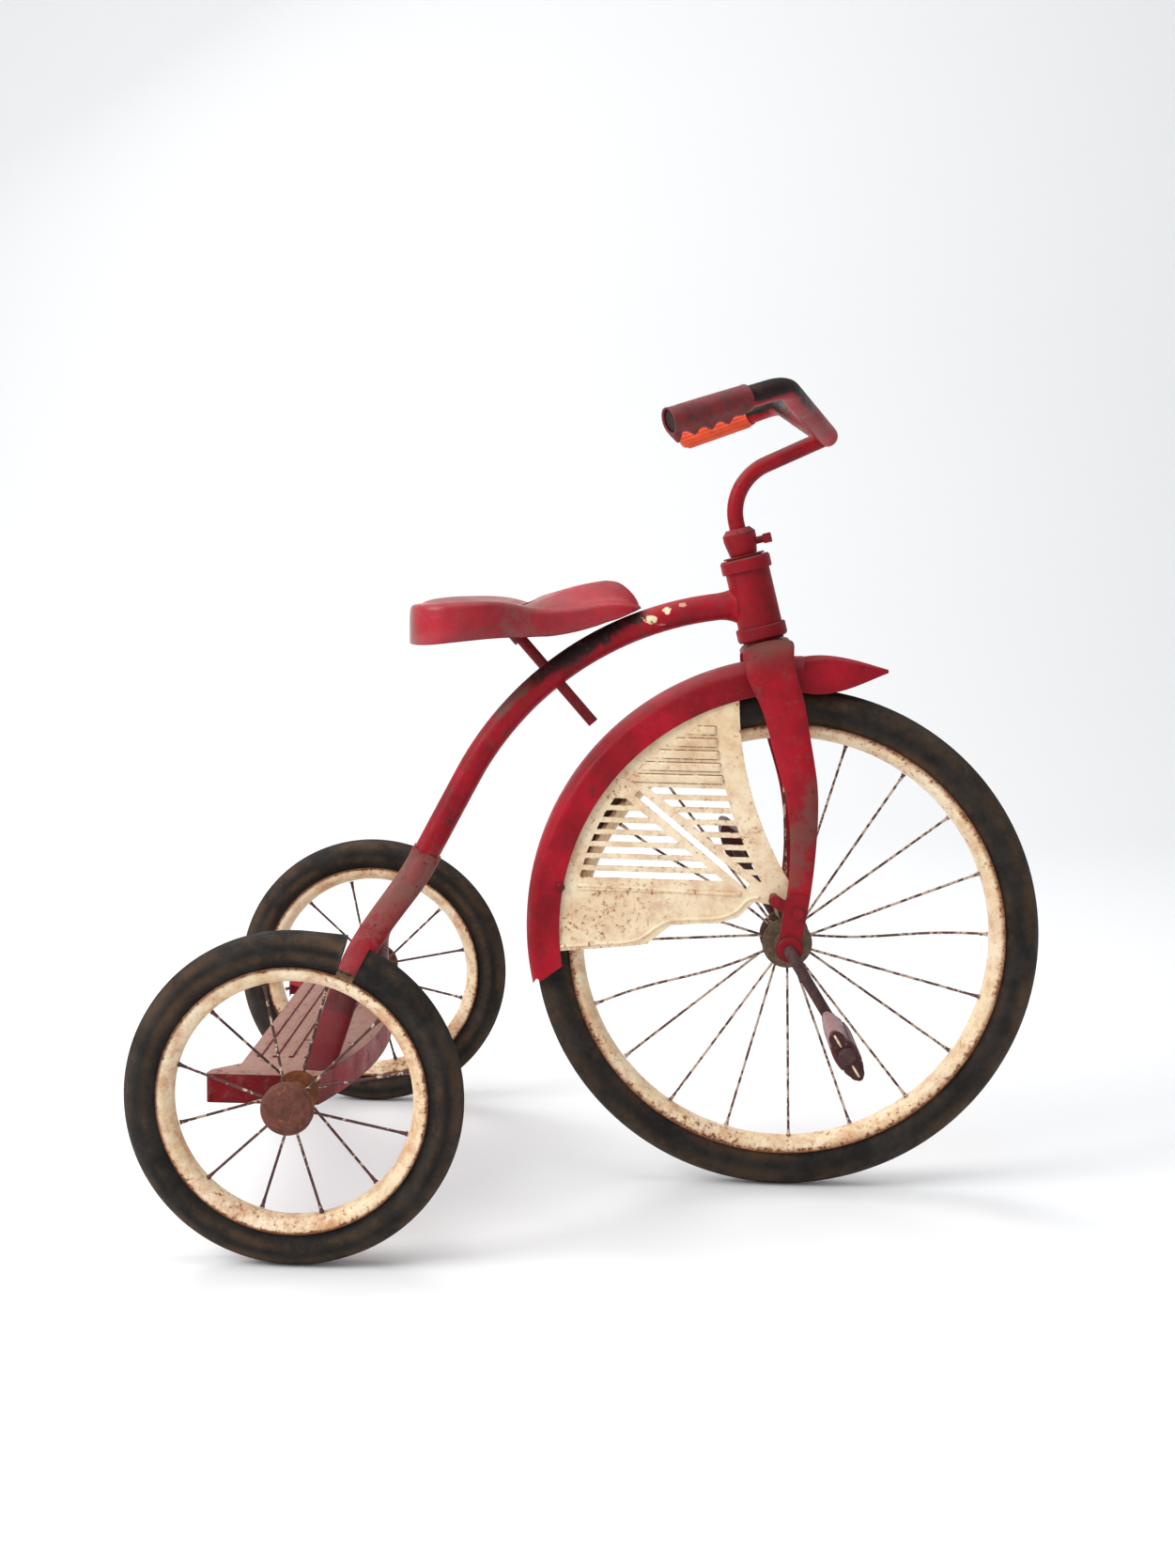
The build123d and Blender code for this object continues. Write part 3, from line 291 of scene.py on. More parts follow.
def tyre_rubber(name, centre, radius):
    """Aged black rubber with brown dust in rings on the sidewall and a scuffed tread."""
    f = Finish(name, specular=0.12)
    reach = f.distance(centre, (1, 0, 1))
    color = f.mix(f.step(f.noise(22, 6, 0.7), 0.35, 0.7), tyre_black, tyre_grey)
    bands = 0.0
    for place, width in ((0.966, 0.050), (0.866, 0.045)):  # shares of the tyre's radius
        offset = f.math("ABSOLUTE", f.math("SUBTRACT", reach, radius * place))
        bands = f.math("MAXIMUM", bands, f.step(offset, 0.1 * width * radius, width * radius, 1, 0))
    blotches = f.noise(14, 9, 0.8, offset=(2, 0, 1))
    dust = f.math("MULTIPLY", bands, f.step(blotches, 0.38, 0.66, 0.0, 0.75))
    color = f.mix(dust, color, tyre_dust)
    scuff = f.step(f.noise(120, 9, 0.8), 0.54, 0.68, 0, 0.35)
    color = f.mix(scuff, color, tyre_scuff)
    rings = f.math("SINE", f.math("MULTIPLY", reach, 4200))
    height = f.math("ADD", f.noise(300, 8, 0.75), f.math("MULTIPLY", rings, 0.12))
    return f.close(color, f.step(f.noise(60, 6), 0.3, 0.7, 0.5, 0.72), height, 0.0004)


def moulded_rubber(name, light, dark, worn, level=0.6, marks=()):
    """Coloured rubber with dirt in patches, worn pale on its edges."""
    f = Finish(name, sheen=0.1)
    color = f.mix(f.step(f.noise(60, 6), 0.35, 0.68), light, dark)
    rubbed = f.math("MULTIPLY", f.edges(0.0012), f.step(f.noise(120, 6), 0.35, 0.6, 0.1, 0.8))
    color = f.mix(rubbed, color, worn)
    color = marked(f, color, marks)
    dirt = f.step(f.noise(220, 8, 0.75), level, level + 0.08, 0, 0.7)
    color = f.mix(dirt, color, rubber_dirt)
    roughness = f.step(f.noise(90, 5), 0.3, 0.7, 0.5, 0.75)
    return f.close(color, roughness, f.noise(500, 5, 0.7), 0.0002)


backbone_marks = [
    (on_top(patch((0.002, 0.0, 0.577), 0.014, 0.046)), grime, 0.95, 0.35),
    (on_top(patch((-0.036, 0.0, 0.552), 0.022, 0.050), -0.7, 0.3), grime, 1.0, 0.35),
    (on_top(patch((-0.070, 0.0, 0.522), 0.012, 0.042), -0.3, 0.4), grime, 0.9, 0.35),
    (on_top(patch((-0.100, 0.0, 0.488), 0.008, 0.050)), dust_and_sheen_brown, 0.85, 0.4),
    (patch((0.0325, -0.0110, 0.5750), 0.000, 0.0090, (0.7, 1, 1.0)), old_cream, 1.0, 0.07),
    (patch((0.0486, -0.0110, 0.5818), 0.000, 0.0078, (0.8, 1, 1.0)), old_cream, 0.95, 0.07),
    (patch((0.0640, -0.0105, 0.5885), 0.000, 0.0056, (0.7, 1, 1.3)), pink_chip, 0.9, 0.10),
    (patch((0.0460, -0.0130, 0.5690), 0.000, 0.0050, (0.5, 1, 1.8)), rose_chip, 0.8, 0.10),
    (patch((-0.205, 0.0, 0.300), 0.020, 0.062, (1, 0.6, 1)), leg_dust, 0.7, 0.45),
]
leg_marks = [
    (patch((-0.205, 0.0, 0.290), 0.020, 0.095, (1, 1, 1)), leg_dust, 0.9, 0.45),
    (patch((-0.212, -0.02, 0.262), 0.006, 0.040, (1, 0.6, 1)), streaked_red, 0.6, 0.45),
    # Painted shade: the lower legs, inside the rear wheels, darkened to a deep red.
    (patch((-0.262, 0.0, 0.120), 0.090, 0.125, (1, 0.2, 1)), painted_shade_red, 0.9, 0.3),
    (patch((-0.252, -0.125, 0.205), 0.008, 0.030, (1, 1, 0.7)), grime, 0.5, 0.3),
    (patch((-0.252, 0.125, 0.205), 0.014, 0.040, (1, 1, 0.7)), grime, 0.5, 0.3),
]
saddle_marks = [(patch((-0.157, 0, 0.586), 0.072, 0.092, (0.9, 1, 0.2)), saddle_dust, 0.6, 0.4)]
pedal_axis = Vector((cos(radians(-58)), 0, sin(radians(-58))))
inner_end = 0.034
pedal_marks = [(patch(middle(f"{side}_pedal_rubber") - pedal_axis * (side_sign * inner_end), 0.012, 0.030,
                      (1, 0.1, 1)), pedal_worn, 0.95, 0.25) for side, side_sign in zip(sides, (1, -1))]
looks = {
    "red_frame": worn_paint("frame_paint", red, deep_red, dust_and_sheen_red, bare_metal),
    "red_fender": worn_paint("fender_paint", rgb(174, 16, 38), deep_red, dust_and_sheen_red, bare_metal,
                             chips=0.63, gloss=0.38, dust=0.5),
    "seat_paint": worn_paint("seat_paint", rgb(176, 14, 36), rgb(144, 10, 28), dust_and_sheen_red, bare_metal,
                             chips=0.64, gloss=0.22, dust=0.35, clouds=0.3, marks=saddle_marks, specular=0.5),
    "bar_metal": worn_paint("bar_paint", rgb(154, 12, 28), rgb(112, 10, 22), dust_and_sheen_brown, grime, dust=0.6),
    "rusty_steel": rusted_steel("rusty_steel", rgb(104, 58, 40), rgb(66, 38, 30)),
    "worn_steel": worn_paint("worn_red_steel", rgb(142, 14, 28), rgb(104, 12, 22), dust_and_sheen_brown, bare_metal,
                             chips=0.57, dust=0.7),
    "red_grip": moulded_rubber("red_grip", rgb(118, 12, 18), rgb(84, 9, 14), rgb(126, 54, 44), 0.54),
    "orange_grip": moulded_rubber("orange_grip", rgb(226, 74, 18), rgb(206, 56, 12), rgb(240, 126, 70), 0.66),
    "pedal_rubber": moulded_rubber("pedal_rubber", rgb(84, 22, 24), rgb(58, 15, 18), rgb(128, 84, 84),
                                   marks=pedal_marks),
    "cream_paint": cream_paint("guard_cream", rusting=-0.02),
    "tyre_rubber": tyre_rubber("tyre_front", front_axle, front_axle.z),
    "spoke": rusted_steel("spoke_flakes", rgb(104, 62, 56), rgb(70, 42, 40), rgb(196, 172, 154), 0.49),
    "rear_spoke": rusted_steel("rear_spoke_flakes", rgb(98, 60, 56), rgb(66, 42, 44), rgb(200, 178, 156),
                               0.56),
}
node_slots = {row["node"]: row["material_slot"] for row in frame["record"]["subparts"]}


def dress(node, material):
    """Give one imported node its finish."""
    slots = nodes[node].data.materials
    slots.clear()
    slots.append(material)


for node in nodes:
    dress(node, looks[node_slots[node]])
dress("backbone_tube", worn_paint("backbone_paint", red, deep_red, dust_and_sheen_red, bare_metal,
                                  marks=backbone_marks))
leg_paint = worn_paint("leg_paint", rgb(140, 10, 26), rgb(98, 6, 16), dust_and_sheen_red, bare_metal,
                       dust=0.2, marks=leg_marks, wear=0.0)
# The flat top of the step plate is lightened: dust and wear, partly a painted sheen of the light from above.
deck = on_top(patch(rear_axle, 0.4, 0.5), 0.72, 0.95)
deck_front = on_top(patch((rear_axle.x + 0.04, 0, rear_axle.z), 0.4, 0.5), 0.1, 0.75)
deck_marks = [(deck_front, deck_grime, 0.6, 0.4), (deck, deck_dust_and_sheen, 0.85, 0.45)]
dress("step_plate", worn_paint("plate_paint", rgb(142, 12, 28), rgb(100, 8, 18), dust_and_sheen_brown, bare_metal,
                               chips=0.60, dust=0.3, marks=deck_marks))
bar_marks = [(on_top(patch((0.140, 0.152 * side_sign, 0.790), 0.040, 0.088, (1, 0.75, 1)), -0.85, -0.1),
              grime, 1.0, 0.3) for side_sign in (-1, 1)]
bar_marks += [(patch((0.186, 0.070 * side_sign, 0.772), 0.020, 0.070), rubbed_red, 0.6, 0.4)
              for side_sign in (-1, 1)]
dress("handlebar", worn_paint("handlebar_paint", rgb(172, 12, 30), rgb(132, 10, 24), dust_and_sheen_brown, grime,
                              marks=bar_marks))
fork_marks = [(patch((front_axle.x + 0.012 * row, -0.03, front_axle.z + 0.085 + 0.03 * row), 0.006, 0.030,
                     (1, 0.5, 0.6)), brown_front, 0.7, 0.4) for row in range(3)]
# The crown's up-facing shoulders turn brown: dust, with a painted sheen of the light from above.
shoulder = patch((front_axle.x - 0.005, 0, front_axle.z + 0.300), 0.040, 0.075)
fork_marks.append((on_top(shoulder, 0.0, 0.9), brown_top, 0.75, 0.4))
for node in ("fork", "steerer_tube"):
    dress(node, worn_paint(f"{node}_paint", red, deep_red, brown_top, bare_metal, dust=0.75,
                           marks=fork_marks))
for node in ("head_tube", "lower_head_cup", "upper_head_cup"):
    dress(node, worn_paint(f"{node}_paint", rgb(150, 14, 30), rgb(116, 10, 22), brown_top, bare_metal,
                           chips=0.64, gloss=0.4, dust=0.95, clouds=0.6))
hub_rust = rusted_steel("hub_rust", rgb(142, 80, 36), rgb(86, 46, 28))
cap_rust = rusted_steel("cap_rust", rgb(112, 60, 42), rgb(80, 42, 32), rgb(140, 74, 34), 0.60)
hub_grey = rusted_steel("hub_grey", rgb(116, 94, 72), rgb(76, 56, 44))
crank_brown = rusted_steel("crank_brown", rgb(84, 52, 50), rgb(52, 34, 36))
pedal_dark = rusted_steel("pedal_dark", rgb(74, 28, 28), rgb(48, 20, 20), rgb(120, 70, 66), 0.62)
dress("front_hub", hub_grey)
dress("crank_axle", crank_brown)
for side in sides:
    dress(f"{side}_pedal_frame", pedal_dark)
    dress(f"{side}_pedal_nut", crank_brown)
    dress(f"{side}_rear_leg", leg_paint)
    dress(f"{side}_hubcap", cap_rust)
    dress(f"{side}_rear_hub", hub_rust)


# ---- mesh tools ---------------------------------------------------------------------------------
def piece(name, points, faces, material, body, replaced=()):
    """A new smooth mesh that rides on a body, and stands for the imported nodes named."""
    mesh = bpy.data.meshes.new(name)
    mesh.from_pydata([tuple(point) for point in points], [], faces)
    mesh.polygons.foreach_set("use_smooth", [True] * len(mesh.polygons))
    mesh.materials.append(material)
    made = bpy.data.objects.new(name, mesh)
    bpy.context.scene.collection.objects.link(made)
    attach(made, body)
    if replaced:
        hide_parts(*replaced)
    return made


def grid_faces(rows, columns, first=0, closed_rows=False, closed_columns=True):
    """Quads over a grid of points, joined round where a direction is closed."""
    faces = []
    for row in range(rows if closed_rows else rows - 1):
        for column in range(columns if closed_columns else columns - 1):
            below, beside = (row + 1) % rows, (column + 1) % columns
            faces.append((first + row * columns + column, first + row * columns + beside,
                          first + below * columns + beside, first + below * columns + column))
    return faces


def smooth_line(points, steps):
    """Points along a smooth line that passes through the given ones."""
    points = [Vector(point) for point in points]
    padded = [2 * points[0] - points[1], *points, 2 * points[-1] - points[-2]]
    line = []
    for a, b, c, d in zip(padded, padded[1:], padded[2:], padded[3:]):
        for step in range(steps):
            t = step / steps
            line.append(0.5 * (2 * b + (c - a) * t + (2 * a - 5 * b + 4 * c - d) * t * t
                               + (3 * b - a - 3 * c + d) * t ** 3))
    return line + [points[-1]]


def tube(line, radii, sides_round=12, first=0, capped=True):
    """Points and faces of a round tube along a line, with a radius at each of its points."""
    points, faces = [], []
    side = (line[1] - line[0]).orthogonal().normalized()
    for index, centre in enumerate(line):
        ahead = (line[min(index + 1, len(line) - 1)] - line[max(index - 1, 0)]).normalized()
        side = (side - ahead * side.dot(ahead)).normalized()
        other = ahead.cross(side)
        for step in range(sides_round):
            turn = 2 * pi * step / sides_round
            points.append(centre + (side * cos(turn) + other * sin(turn)) * radii[index])
    faces = grid_faces(len(line), sides_round, first)
    if capped:
        faces.append(tuple(first + step for step in reversed(range(sides_round))))
        faces.append(tuple(first + (len(line) - 1) * sides_round + step for step in range(sides_round)))
    return points, faces


# ---- tyres --------------------------------------------------------------------------------------
def tyre_profile(radius, section, rim_radius):
    """The moulded section of a tyre as (radius, half width) points: ribbed tread, ringed sidewalls, root."""
    middle_radius = radius - section
    tread_edge, side_end = radians(28), radians(122)
    rounds = 84
    groove, mould_line = 0.00035, 0.00028
    outline = []
    for step in range(rounds + 1):
        turn = -side_end + 2 * side_end * step / rounds
        reach = section
        if abs(turn) < tread_edge:
            reach = section * (0.985 + 0.015 * (turn / tread_edge) ** 2)
            reach += groove * cos(turn / tread_edge * 5 * pi)
        for ring in (38, 45, 52, 80):
            gap = abs(abs(turn) - radians(ring)) / radians(2.4)
            reach += mould_line * max(0.0, 1 - gap)
        outline.append((middle_radius + reach * cos(turn), reach * sin(turn)))
    root, shoulder = rim_radius - 0.0115, rim_radius - 0.005
    outline += [(shoulder, 0.66 * section), (root, 0.36 * section)]
    outline += [(root, -0.36 * section), (shoulder, -0.66 * section)]
    return outline


def build_tyre(wheel, body, axle, split_turn=None):
    """A tyre lathed round its axle; a split one ends a little apart, with one end lifted."""
    node = f"{wheel}_tyre"
    low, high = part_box(node)
    rim_low, rim_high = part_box(f"{wheel}_rim")
    radius, section = axle.z, (high.y - low.y) / 2
    half_opening, end_lift, lift_fade = 0.011, 0.004, 26
    profile = tyre_profile(radius, section, (rim_high.z - rim_low.z) / 2)
    around = 200
    gap = 0.0 if split_turn is None else half_opening / radius
    points = []
    rows = around if split_turn is None else around + 1
    for row in range(rows):
        share = row / around
        turn = (split_turn or 0.0) + gap + share * (2 * pi - 2 * gap)
        lift = 0.0 if split_turn is None else end_lift * max(0.0, 1 - share * lift_fade) ** 2
        for reach, across in profile:
            points.append(axle + Vector(((reach + lift) * cos(turn), across, (reach + lift) * sin(turn))))
    faces = grid_faces(rows, len(profile), closed_rows=split_turn is None)
    if split_turn is not None:
        faces.append(tuple(range(len(profile))))
        faces.append(tuple(reversed(range(around * len(profile), rows * len(profile)))))
    rubber = tyre_rubber(f"{wheel}_tyre_rubber", axle, radius)
    piece(f"{wheel}_tyre_moulded", points, faces, rubber, body, (node,))


wheels = {"front": ("front_wheel", front_axle, None),
          "right_rear": ("right_rear_wheel", middle("right_rear_hub"), radians(68)),
          "left_rear": ("left_rear_wheel", middle("left_rear_hub"), None)}
for wheel, (body, axle, split_turn) in wheels.items():
    build_tyre(wheel, body, axle, split_turn)


# ---- rims and hub caps --------------------------------------------------------------------------
def lathe(axle, profile, around=160):
    """A closed (radius, along) outline turned round an axle."""
    points = []
    for row in range(around):
        turn = 2 * pi * row / around
        points += [axle + Vector((reach * cos(turn), along, reach * sin(turn))) for reach, along in profile]
    return points, grid_faces(around, len(profile), closed_rows=True)


def rim_profile(lip, depth, half, sheet=0.0013, steps=22):
    """The section of a rolled rim: a round trough with a bead along each lip."""
    swell_power = 0.85
    bead_rise, bead_out, bead_in = 0.0007, 0.0005, 0.0009
    trough = []
    for step in range(-steps, steps + 1):
        turn = pi / 2 * step / steps
        swell = abs(cos(turn)) ** swell_power
        trough.append((lip - depth * swell, half * sin(turn) if abs(step) < steps else half * step / steps))
    bead = [(lip + bead_rise * sin(turn), half + bead_out - bead_in * cos(turn))
            for turn in (pi / 4, 2 * pi / 4, 3 * pi / 4)]
    inner = [(reach + sheet, along * (1 - sheet / half)) for reach, along in reversed(trough)]
    return trough + bead + inner + [(reach, -along) for reach, along in reversed(bead)]


trough_depth, lip_inset, side_inset = 0.0135, 0.0007, 0.0006
for wheel, (body, axle, _) in wheels.items():
    low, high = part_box(f"{wheel}_rim")
    lip, half = (high.z - low.z) / 2, (high.y - low.y) / 2
    rim_points, rim_faces = lathe(axle, rim_profile(lip - lip_inset, trough_depth, half - side_inset))
    rusting, stain = (-0.025, 0.75) if wheel == "front" else (-0.02, 1.0)
    rim_finish = cream_paint(f"{wheel}_rim_rolled", axle, lip, rusting, stain)
    piece(f"{wheel}_rim_rolled", rim_points, rim_faces, rim_finish, body, (f"{wheel}_rim",))

stud = [(0.0001, 0.0004), (0.0013, 0.0003), (0.0020, -0.0004), (0.0026, 0.0001), (0.0036, 0.0005),
        (0.0044, 0.0001), (0.0048, -0.0022), (0.0001, -0.0024)]  # radius and how far outward
for side, outward in zip(sides, (-1, 1)):
    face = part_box(f"{side}_hubcap")[0 if outward < 0 else 1].y
    centre = Vector((rear_axle.x, face, rear_axle.z))
    stud_points, stud_faces = lathe(centre, [(reach, outward * along) for reach, along in stud], 40)
    piece(f"{side}_cap_rivet", stud_points, stud_faces, looks["rusty_steel"], f"{side}_rear_wheel")


# ---- pedal slots and the weld behind the head tube ----------------------------------------------
slot_place, slot_half, slot_radii = 0.0165, 0.0065, [0.0009, 0.0012, 0.0009]
for side, outward in zip(sides, (-1, 1)):
    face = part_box(f"{side}_pedal_frame")[0 if outward < 0 else 1].y
    centre = middle(f"{side}_pedal_rubber")
    slot_points, slot_faces = [], []
    for place in (-slot_place, slot_place):
        strip = [Vector((centre.x, face, centre.z)) + pedal_axis * (place + reach)
                 for reach in (-slot_half, 0.0, slot_half)]
        more_points, more_faces = tube(strip, slot_radii, 10, len(slot_points))
        slot_points += more_points
        slot_faces += more_faces
    piece(f"{side}_pedal_slots", slot_points, slot_faces, looks["cream_paint"], f"{side}_pedal")

weld_line = [Vector((rear_axle.x + x, 0, z)) for x, z in
             ((0.377, 0.5872), (0.384, 0.5880), (0.389, 0.5885), (0.394, 0.5890), (0.400, 0.5894))]
weld_radii, weld_flatness = [0.0133, 0.0142, 0.0156, 0.0178, 0.0205], 0.78
weld_points, weld_faces = tube(weld_line, weld_radii, 48, capped=False)
weld_points = [Vector((point.x, point.y * weld_flatness, point.z)) for point in weld_points]
piece("head_weld", weld_points, weld_faces, looks["red_frame"], "frame")


# ---- grips --------------------------------------------------------------------------------------
past_bar = 0.003
red_length, orange_length = 0.082, 0.087


def grip_ends(side):
    """Where a grip starts, a little past the open end of the bar, and its direction along the bar."""
    mount = next(row for row in frame["record"]["mounts"] if row["name"] == f"{side}_bar_end")
    outward = Vector(mount["axis"]).normalized()
    return Vector(mount["pos_m"]) + outward * (mount["dims"]["length_mm"] / 2000 + past_bar), -outward


def moulded_grip(side, reach, length, along=150, around=72):
    """A rubber sleeve: reach(along, turn) is its outer radius, and turn is 0 on the underside."""
    start, inward = grip_ends(side)
    down = (Vector((0, 0, -1)) + inward * inward.z).normalized()
    across = inward.cross(down)
    rings = [(0.0015, 0.0104), (0.0, 0.0110)]  # place along the sleeve, and inner radius at its ends
    rings += [(length * step / along, None) for step in range(along + 1)]
    rings += [(length, 0.0109), (length - 0.0012, 0.0103)]
    points = []
    for place, fixed in rings:
        for step in range(around):
            turn = 2 * pi * step / around
            radius = fixed or reach(place, turn if turn < pi else turn - 2 * pi)
            points.append(start + inward * place + (down * cos(turn) + across * sin(turn)) * radius)
    return points, grid_faces(len(rings), around)


def bump_shape(value, width):
    """A rounded bump, 1 at zero and 0 beyond the width."""
    return cos(value / width * pi / 2) ** 2 if abs(value) < width else 0.0


def finger_grip(place, turn):
    """Fine rings round the sleeve, a keel with finger hollows and a tongue at the open end."""
    sleeve_radius, ring_height, ring_pitch = 0.0121, 0.00035, 0.0030
    finger_pitch, first_finger, keel_end = 0.0175, 0.0225, 0.080
    radius = sleeve_radius + ring_height * sin(place * 2 * pi / ring_pitch) * (0.012 < place < 0.076)
    radius += 0.0004 * bump_shape(place, 0.004) + 0.0005 * bump_shape(place - keel_end, 0.004)
    hollows = 0.5 + 0.5 * cos((place - first_finger) * 2 * pi / finger_pitch)
    ease = min(1.0, max(0.0, (keel_end - place) / 0.020)) * min(1.0, max(0.0, (place - 0.010) / 0.006))
    keel = (0.0012 + 0.0046 * hollows ** 1.5) * ease
    keel += 0.0085 * bump_shape(place - 0.0045, 0.0065)
    return radius + keel * bump_shape(turn, 0.62)


def ribbed_grip(place, turn):
    """Ribs that run lengthwise between smooth ends."""
    sleeve_radius, rib_height, ribs = 0.0114, 0.0005, 18
    ease = min(1.0, place / 0.006, (orange_length - place) / 0.005)
    radius = sleeve_radius + rib_height * ease * cos(turn * ribs) - 0.0008 * bump_shape(place, 0.005)
    return radius + 0.0016 * bump_shape(turn, 0.6) * ease


# A short dark plug inside each grip's opening: rust colour darkened into painted shade for the hollow bar
# end.
bore_rust_and_shade = rusted_steel("bore_rust_and_shade", rgb(52, 24, 20), rgb(22, 13, 12))
bore_rings = ((0.0021, 0.0088), (0.0026, 0.0100), (0.0032, 0.0103))  # place along the sleeve, and radius
for side, reach, length, slot in (("right", finger_grip, red_length, "red_grip"),
                                  ("left", ribbed_grip, orange_length, "orange_grip")):
    grip_points, grip_faces = moulded_grip(side, reach, length)
    piece(f"{side}_grip_moulded", grip_points, grip_faces, looks[slot], "handlebar", (f"{side}_grip",))
    opening, inward = grip_ends(side)
    bore_line = [opening + inward * place for place, _ in bore_rings]
    bore_points, bore_faces = tube(bore_line, [radius for _, radius in bore_rings], 48)
    piece(f"{side}_bar_bore", bore_points, bore_faces, bore_rust_and_shade, "handlebar")


# ---- saddle -------------------------------------------------------------------------------------
seat_low, seat_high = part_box("seat_pan")
saddle_stations = [  # share of the length, half width, height of the skirt's edge, height of the rim, dish
    (0.000, 0.0040, 0.0040, 0.0240, 0.0000), (0.004, 0.0300, 0.0020, 0.0300, 0.0005),
    (0.012, 0.0500, 0.0008, 0.0345, 0.0010), (0.035, 0.0710, 0.0000, 0.0385, 0.0040),
    (0.110, 0.0930, 0.0010, 0.0415, 0.0095), (0.215, 0.1000, 0.0040, 0.0430, 0.0125),
    (0.340, 0.0885, 0.0070, 0.0437, 0.0115), (0.425, 0.0715, 0.0080, 0.0425, 0.0075),
    (0.500, 0.0575, 0.0080, 0.0388, 0.0000), (0.560, 0.0480, 0.0085, 0.0362, -0.0105),
    (0.620, 0.0415, 0.0090, 0.0362, -0.0150), (0.720, 0.0340, 0.0130, 0.0385, -0.0195),
    (0.820, 0.0290, 0.0195, 0.0425, -0.0203), (0.860, 0.0270, 0.0230, 0.0437, -0.0199),
    (0.910, 0.0235, 0.0265, 0.0437, -0.0178), (0.960, 0.0170, 0.0315, 0.0410, -0.0120),
    (0.990, 0.0095, 0.0345, 0.0385, -0.0055), (1.000, 0.0040, 0.0360, 0.0375, -0.0005),
]


def saddle_at(share, column):
    """A station's value at a share of the length, joined smoothly."""
    rows = saddle_stations
    index = max(i for i, row in enumerate(rows[:-1]) if row[0] <= share)
    t = (share - rows[index][0]) / (rows[index + 1][0] - rows[index][0])
    before, after = rows[max(index - 1, 0)], rows[min(index + 2, len(rows) - 1)]
    here, there = rows[index], rows[index + 1]
    span = there[0] - here[0]
    slope_here = (there[column] - before[column]) / (there[0] - before[0]) * span
    slope_there = (after[column] - here[column]) / (after[0] - here[0]) * span
    return ((2 * t ** 3 - 3 * t * t + 1) * here[column] + (t ** 3 - 2 * t * t + t) * slope_here
            + (3 * t * t - 2 * t ** 3) * there[column] + (t ** 3 - t * t) * slope_there)


def saddle():
    """The pressed pan: a skirt all round, a rolled shoulder, a dished rear and a crowned nose."""
    length = seat_high.x - seat_low.x
    rows, half_columns, shoulder_steps = 90, 22, 6
    points = []
    for row in range(rows + 1):
        share = 0.5 - 0.5 * cos(pi * row / rows)
        half, skirt, rim, dish = (saddle_at(share, column) for column in (1, 2, 3, 4))
        shoulder = min(0.008, 0.45 * half, 0.45 * (rim - skirt))
        section = [(-half + 0.0012, skirt + 0.0004), (-half, skirt + 0.0015),
                   (-half, skirt + 0.5 * (rim - skirt - shoulder))]
        for step in range(shoulder_steps + 1):
            turn = pi / 2 * step / shoulder_steps
            section.append((-half + shoulder * (1 - cos(turn)), rim - shoulder * (1 - sin(turn))))
        inner = half - shoulder
        for step in range(1, half_columns + 1):
            t = step / half_columns
            section.append((-inner * (1 - t), rim - dish * (3 * t * t - 2 * t ** 3)))
        section += [(-across, up) for across, up in reversed(section[:-1])]
        for across, up in section:
            points.append((seat_low.x + share * length, across, seat_low.z + up))
    columns = len(points) // (rows + 1)
    faces = grid_faces(rows + 1, columns, closed_columns=False)
    faces += [tuple(range(columns)), tuple(reversed(range(rows * columns, len(points))))]
    made = piece("saddle_pan", points, faces, looks["seat_paint"], "seat", ("seat_pan",))
    thick = made.modifiers.new("sheet", "SOLIDIFY")
    thick.thickness = 0.0016
    thick.offset = 1.0


saddle()


# ---- spokes -------------------------------------------------------------------------------------
def build_spokes(wheel, body, axle, count, start, hub_radius, hub_half, rim_radius, finish, bends=()):
    """Spokes laced to the two flanges in turn; bends are (number, sideways, in plane) for the bent ones."""
    spoke_radius, rim_half, stations = 0.0013, 0.003, 26
    nipple_rings = ((0.0, 0.0024), (0.0012, 0.0024), (0.0018, 0.0018), (0.0070, 0.0016), (0.0085, 0.0013))
    points, faces = [], []
    bent = {number: (sideways, in_plane) for number, sideways, in_plane in bends}
    for number in range(count):
        turn = radians(start + number * 360 / count)
        flange = -1 if number % 2 else 1
        outward = Vector((cos(turn), 0, sin(turn)))
        around = Vector((-sin(turn), 0, cos(turn)))
        hub_end = axle + Vector((0, flange * hub_half, 0)) + outward * hub_radius
        rim_end = axle + Vector((0, flange * rim_half, 0)) + outward * rim_radius
        sideways, in_plane = bent.get(number, (0.0, 0.0))
        line = []
        for station in range(stations + 1):
            share = station / stations
            bow = sin(pi * share)
            wave = sin(2 * pi * share)
            bend = Vector((0, sideways * bow, 0)) + around * in_plane * (bow * 0.4 + wave * 0.6)
            line.append(hub_end.lerp(rim_end, share) + bend)
        more_points, more_faces = tube(line, [spoke_radius] * len(line), 10, len(points))
        points += more_points
        faces += more_faces
        inward = (hub_end - rim_end).normalized()
        nipple = [rim_end + inward * place for place, _ in nipple_rings]
        more_points, more_faces = tube(nipple, [radius for _, radius in nipple_rings], 10, len(points))
        points += more_points
        faces += more_faces
    piece(f"{wheel}_spokes_laced", points, faces, looks[finish], body, (f"{wheel}_spokes",))


build_spokes("front", "front_wheel", front_axle, count=20, start=2.4, hub_radius=0.017, hub_half=0.0203,
             rim_radius=0.2039, finish="spoke",
             bends=((0, 0.002, -0.0035), (11, 0.001, 0.004), (8, 0.002, -0.003)))
for side in sides:
    build_spokes(f"{side}_rear", f"{side}_rear_wheel", middle(f"{side}_rear_hub"), count=12, start=14.0,
                 hub_radius=0.0135, hub_half=0.0243, rim_radius=0.1064, finish="rear_spoke")


# ---- guard details ------------------------------------------------------------------------------
louvre_count, louvre_rows, louvre_columns = 5, 12, 40
louvre_top, louvre_pitch, louvre_height, louvre_lean = 0.466, 0.01215, 0.0080, 0.0040
hood_shoulder = 0.14


